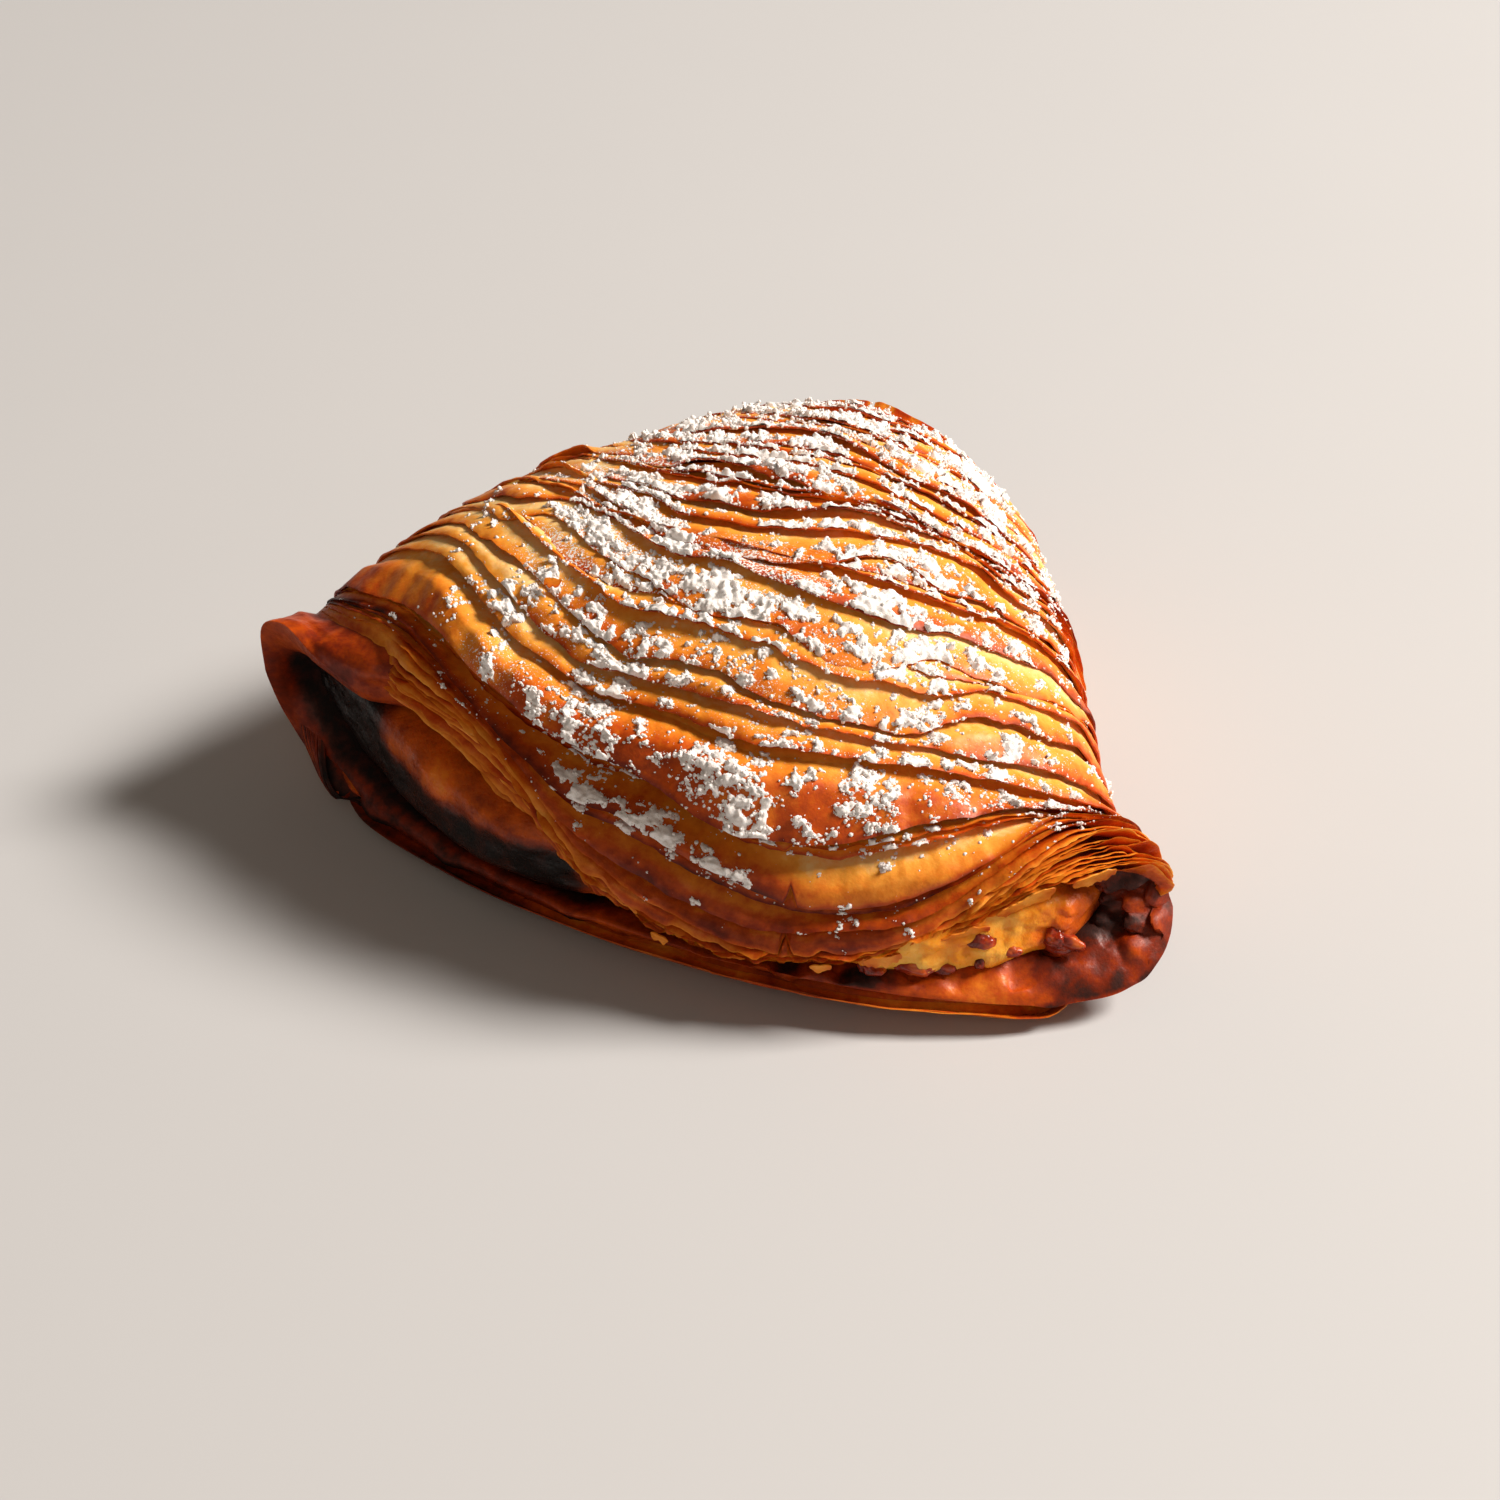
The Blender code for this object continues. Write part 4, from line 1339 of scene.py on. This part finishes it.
@dataclass
class Filling:
    """The filling, swollen into both gapes of the mouth."""

    form: Form
    columns: int = 420
    rows: int = 60
    front_rows: int = 34
    start: float = 0.30
    front: float = 0.93
    clearance: float = 0.35

    def build(self, finish: bpy.types.Material) -> bpy.types.Object:
        """Make the filling."""
        noise = Noise(31)
        angle = np.linspace(0.0, 2.0 * math.pi, self.columns)[None, :]
        station = np.linspace(self.start, self.front, self.rows)[:, None]
        tube = self.form.hollow(station, angle, self.clearance)
        height = np.linspace(0.97, 0.0, self.front_rows)[:, None]
        face = self.form.hollow(np.full_like(height, self.front), angle, self.clearance, height)
        x = face[..., 0]
        forward = 7.0 * hump(x, -24.0, 19.0) + 6.0 * ease((x - 12.0) / 16.0)
        forward = forward - 9.0 * ease((x - 46.0) / 5.0)
        forward = forward * (1.0 - height**6)
        right = ease((x - 5.0) / 14.0)
        lumps = noise.layers(face, 4.5, 4, 0.55) * (0.45 + 0.45 * right)
        curds = 1.0 - noise.balls(face, 2.6)[0] / 0.7
        lumps = lumps + 0.9 * right * np.clip(curds, 0.0, 1.0)
        face[..., 1] -= forward + lumps * (1.0 - height**4)
        face[..., 2] += 0.4 * noise.at(face + 9.0, 3.0) * (1.0 - height**4)
        points = np.concatenate([tube, face])
        points[:, -1] = points[:, 0]
        half = points.shape[1] // 2
        last = 0.5 * (points[-1] + points[-1][::-1])
        points[-1] = last
        start = np.broadcast_to(points[0].mean(axis=0), points[0].shape)
        points = np.concatenate([start[None], points])
        x, z = points[..., 0], points[..., 2]
        left = ease((4.0 - x) / 16.0)
        bake_and_painted_light = 0.13 + 0.37 * left + (0.16 - 0.10 * left) * noise.layers(points, 5.0, 3)
        # Darker low at the left gape: partly burnt filling, partly painted shade above the lower lip.
        bake_and_painted_light = bake_and_painted_light + 0.46 * ease((15.0 - z) / 3.5) * ease((-8.0 - x) / 6.0)
        # Painted shade darkens the filling at the far right, in the dark opening by the ear; its bottom at
        # the right is browner where it baked.
        bake_and_painted_light = bake_and_painted_light + 0.44 * ease((x - 39.0) / 9.0) + 0.20 * ease((7.0 - z) / 2.0) * (1.0 - left)
        # Painted shade in the near-black hollow at the left ear and in the narrow dark gap where the lips
        # almost meet, just right of the middle.
        bake_and_painted_light = bake_and_painted_light + 0.50 * ease((-x - 37.0) / 6.0) + 0.6 * hump(x, 8.0, 14.0)
        patch = Patch(points, {"bake_and_painted_light": np.clip(bake_and_painted_light, 0.0, 1.0)})
        piece = sew("filling_in_mouth", [patch], ("bake_and_painted_light",))
        piece.data.materials.append(finish)
        return piece


# --------------------------------------------------------------------------------------
# Flakes and candied peel
# --------------------------------------------------------------------------------------

@dataclass(frozen=True)
class Flake:
    """A torn scrap of leaf on the body."""

    station: float
    turn: float
    length: float                      # millimetres along the lip
    width: float
    droop: float                       # degrees it hangs down from the body's surface
    lift: float = 0.6


@dataclass
class Scraps:
    """Torn scraps of leaf at the mouth and crumbs of leaf on the crown."""

    stack: LeafStack
    thick: float = 0.18
    flakes: tuple = (
        Flake(0.994, 0.255, 7.5, 3.0, 58.0, -0.6), Flake(0.996, 0.190, 5.5, 2.2, 66.0, -0.9),
        Flake(0.998, 0.310, 7.0, 2.0, 45.0, -0.6), Flake(0.999, 0.372, 4.5, 1.6, 25.0, -0.4),
        Flake(0.999, 0.420, 2.6, 1.2, 30.0, -0.5), Flake(0.997, 0.535, 2.4, 1.1, 20.0, -0.2),
        Flake(0.980, 0.470, 1.8, 0.9, 10.0, 0.5), Flake(0.835, 0.505, 2.0, 1.1, -8.0, 2.2),
        Flake(0.800, 0.600, 1.6, 1.2, -10.0, 1.6), Flake(0.700, 0.640, 2.4, 1.4, -12.0, 1.4))

    def scrap(self, flake: Flake, number: int) -> Patch:
        """Closed grid of one scrap: its top from end to end, then back below."""
        noise = Noise(51)
        angle = np.array([flake.turn * math.pi])
        spot = self.stack.sites(np.array([flake.station]), angle)
        base, normal = spot.base[0], spot.normal[0]
        ahead = self.stack.sites(np.array([flake.station]), angle + 0.02).base[0] - base
        along = ahead / np.linalg.norm(ahead)
        out = np.cross(along, normal)
        out = out * np.sign(-out[1])
        tilt = math.radians(flake.droop)
        out = out * math.cos(tilt) - normal * math.sin(tilt)
        face = np.cross(along, out)
        face = face * np.sign(np.dot(face, normal) + 0.3)
        u = np.linspace(-1.0, 1.0, 33)[None, :]
        v = np.concatenate([np.linspace(-0.5, 0.5, 9), np.linspace(0.5, -0.5, 9), [-0.5]])[:, None]
        below = np.concatenate([np.zeros(9), np.ones(9), [0.0]])[:, None]
        salt = np.array([11.0 * number, 3.0, 5.0])
        line = np.concatenate([u * flake.length, 0.0 * u, 0.0 * u]).T[None]
        ragged = 1.0 + 0.55 * noise.layers(line + salt, 1.1, 2)
        breadth = flake.width * np.sqrt(np.clip(1.0 - u**4, 0.0, 1.0)) * ragged
        points = (base + normal * flake.lift + along * (0.5 * flake.length * u)[..., None]
                  + out * (breadth * (v + 0.3))[..., None])
        bend = 0.35 * noise.at(points + salt, 2.2) + 0.12 * noise.at(points - salt, 0.9)
        taper = np.sqrt(np.clip(1.0 - u**4, 0.0, 1.0))
        points = points + face * (bend - below * self.thick * taper)[..., None]
        points[..., 2] = np.maximum(points[..., 2], 0.1)
        bake_and_painted_light = 0.20 + 0.12 * noise.at(points, 2.0) + 0.15 * np.abs(u) + 0.10 * (v + 0.5)
        return Patch(points, {"bake_and_painted_light": np.clip(bake_and_painted_light, 0.05, 0.9), "dust": 0.0 * bake_and_painted_light})

    def build(self, finish: bpy.types.Material) -> bpy.types.Object:
        """Make the scraps as one piece."""
        patches = [self.scrap(flake, number) for number, flake in enumerate(self.flakes)]
        piece = sew("torn_scraps", patches, ("bake_and_painted_light", "dust"))
        piece.data.materials.append(finish)
        return piece


@dataclass(frozen=True)
class CandiedPeel:
    """Orange and citron peel boiled in syrup: glassy, deep orange to dark red when baked."""

    name: str = "candied_peel"
    orange: str = "#C8611C"
    red: str = "#962A10"
    dark: str = "#480F08"

    def make(self) -> bpy.types.Material:
        """Build the material."""
        material, tree, shader = fresh_material(self.name)
        place = add(tree, "ShaderNodeTexCoord").outputs["Object"]
        blotches = add(tree, "ShaderNodeTexNoise", {
            "Scale": 1.0 / (2.6 * MM), "Detail": 3.0, "Roughness": 0.6},
            {"Vector": place}).outputs["Fac"]
        colour = ramp(tree, blotches, ((0.34, self.dark), (0.50, self.red), (0.66, self.orange)))
        tree.links.new(colour, shader.inputs["Base Color"])
        rough = add(tree, "ShaderNodeMapRange", {"To Min": 0.18, "To Max": 0.42},
                    {"Value": blotches}).outputs["Result"]
        tree.links.new(rough, shader.inputs["Roughness"])
        wrinkles = add(tree, "ShaderNodeTexNoise", {
            "Scale": 1.0 / (0.5 * MM), "Detail": 2.0}, {"Vector": place}).outputs["Fac"]
        bump = add(tree, "ShaderNodeBump", {"Strength": 0.4, "Distance": 0.15 * MM},
                   {"Height": wrinkles}).outputs["Normal"]
        tree.links.new(bump, shader.inputs["Normal"])
        shader.inputs["IOR"].default_value = 1.48
        shader.inputs["Subsurface Weight"].default_value = 0.4
        shader.inputs["Subsurface Radius"].default_value = (1.0, 0.35, 0.12)
        shader.inputs["Subsurface Scale"].default_value = 1.5 * MM
        return material


@dataclass
class PeelBits:
    """Bits of candied peel that show in the filling at the right ear."""

    places: tuple = (
        (38.0, 3.2, 1.3), (41.5, 1.2, 1.1), (45.0, 2.2, 1.5), (46.0, -0.8, 1.7),
        (38.5, -2.2, 1.0), (31.0, -2.2, 1.5), (26.0, -2.6, 1.5), (34.5, -2.8, 1.1))

    def build(self, filling: bpy.types.Object, finish: bpy.types.Material) -> bpy.types.Object:
        """Press lumps of peel into the front of the filling.

        Args:
            filling: the filling's piece, whose front they sit on.
            finish: the peel's material.

        Returns:
            The bits as one piece.
        """
        noise = Noise(61)
        mesh = filling.data
        flat = np.empty(len(mesh.vertices) * 3)
        mesh.vertices.foreach_get("co", flat)
        skin = flat.reshape(-1, 3) / MM
        bm = bmesh.new()
        for number, (x, rise, size) in enumerate(self.places):
            level = 9.0 + rise
            near = skin[(np.abs(skin[:, 0] - x) < 1.0) & (np.abs(skin[:, 2] - level) < 1.2)]
            if len(near) == 0:
                continue
            front = near[near[:, 1].argmin()]
            made = bmesh.ops.create_icosphere(bm, subdivisions=4, radius=size)
            stretch = 1.2 + 0.5 * math.sin(2.7 * number)
            sunk = front + np.array([0.0, 0.35 * size, 0.0])
            for vert in made["verts"]:
                way = np.array(vert.co)
                bulge = 1.0 + 0.32 * float(noise.layers((way + 9.0 * number)[None], 1.2, 3)[0])
                place = way * bulge * np.array([stretch, 0.8, 0.75]) + sunk
                vert.co = Vector(place * MM)
        mesh = bpy.data.meshes.new("candied_peel")
        bm.to_mesh(mesh)
        bm.free()
        mesh.shade_smooth()
        piece = bpy.data.objects.new("candied_peel", mesh)
        bpy.context.scene.collection.objects.link(piece)
        piece.data.materials.append(finish)
        return piece


# --------------------------------------------------------------------------------------
# Studio
# --------------------------------------------------------------------------------------

@dataclass(frozen=True)
class Studio:
    """Pale table, soft lights and the camera."""

    camera_around: float = 20.0        # degrees to the right of straight ahead
    camera_up: float = 38.0
    camera_away: float = 420.0
    look_at: tuple = (3.6, -18.2, 18.0)
    lens: float = 85.0

    def table(self, finish: bpy.types.Material) -> bpy.types.Object:
        """Make the table top."""
        bm = bmesh.new()
        bmesh.ops.create_grid(bm, x_segments=1, y_segments=1, size=2.0)
        mesh = bpy.data.meshes.new("table_top")
        bm.to_mesh(mesh)
        bm.free()
        mesh.materials.append(finish)
        table = bpy.data.objects.new("table_top", mesh)
        bpy.context.scene.collection.objects.link(table)
        return table

    def soft_light(self, name: str, place: tuple, size: float, watts: float,
                   colour: str) -> None:
        """Hang a square light that looks at the pastry.

        Args:
            name: the light's name.
            place: its position in metres.
            size: its side in metres.
            watts: its power.
            colour: its hex colour.
        """
        data = bpy.data.lights.new(name, "AREA")
        data.size = size
        data.energy = watts
        data.color = linear(colour)[:3]
        light = bpy.data.objects.new(name, data)
        light.location = place
        light.rotation_euler = (-Vector(place)).to_track_quat("-Z", "Y").to_euler()
        bpy.context.scene.collection.objects.link(light)

    def build(self, finish: bpy.types.Material) -> bpy.types.Object:
        """Set up the table, lights, surroundings and camera; returns the table."""
        table = self.table(finish)
        self.soft_light("window", (1.12, 0.54, 1.15), 0.50, 52.0, "#FFF6EC")
        self.soft_light("front_fill", (0.25, -1.20, 0.90), 0.90, 2.6, "#FFE6CE")
        world = bpy.data.worlds.new("studio")
        world.use_nodes = True
        sky = world.node_tree.nodes["Background"]
        sky.inputs["Color"].default_value = linear("#F4E2D0")
        sky.inputs["Strength"].default_value = 0.12
        bpy.context.scene.world = world
        bpy.context.scene.view_settings.view_transform = "Standard"
        around, up = math.radians(self.camera_around), math.radians(self.camera_up)
        back = Vector((math.sin(around) * math.cos(up), -math.cos(around) * math.cos(up),
                       math.sin(up)))
        data = bpy.data.cameras.new("camera")
        data.lens = self.lens
        data.sensor_width = 36.0
        data.clip_start = 0.01
        camera = bpy.data.objects.new("camera", data)
        camera.location = (Vector(self.look_at) + back * self.camera_away) * MM
        camera.rotation_euler = (-back).to_track_quat("-Z", "Y").to_euler()
        bpy.context.scene.collection.objects.link(camera)
        bpy.context.scene.camera = camera
        return table


# --------------------------------------------------------------------------------------
# Making
# --------------------------------------------------------------------------------------

class Slot(Enum):
    """The record's material slots."""

    CRUST = "crust"
    FILLING = "filling"


def settle(piece: bpy.types.Object) -> None:
    """Fix a piece to the body and report it."""
    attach(piece, "root")
    piece.data.calc_loop_triangles()
    LOG.info("%s: %d triangles", piece.name, len(piece.data.loop_triangles))


def main() -> None:
    """Build the pieces in order."""
    logging.basicConfig(level=logging.INFO, format="%(name)s: %(message)s")
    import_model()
    form = Form()
    dough = BakedDough().make()
    table = Studio().build(PaleTable().make())

    stack = LeafStack(form)
    for piece in stack.build(dough):
        settle(piece)
    for piece in Sugar(stack).build(PowderedSugar().make()):
        settle(piece)
    core = Core(form).build(dough)
    settle(core)
    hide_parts("pastry_shell")
    filling = Filling(form).build(BakedFilling().make())
    settle(filling)
    settle(Scraps(stack).build(dough))
    settle(PeelBits().build(filling, CandiedPeel().make()))
    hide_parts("filling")


if __name__ == "__main__":
    main()
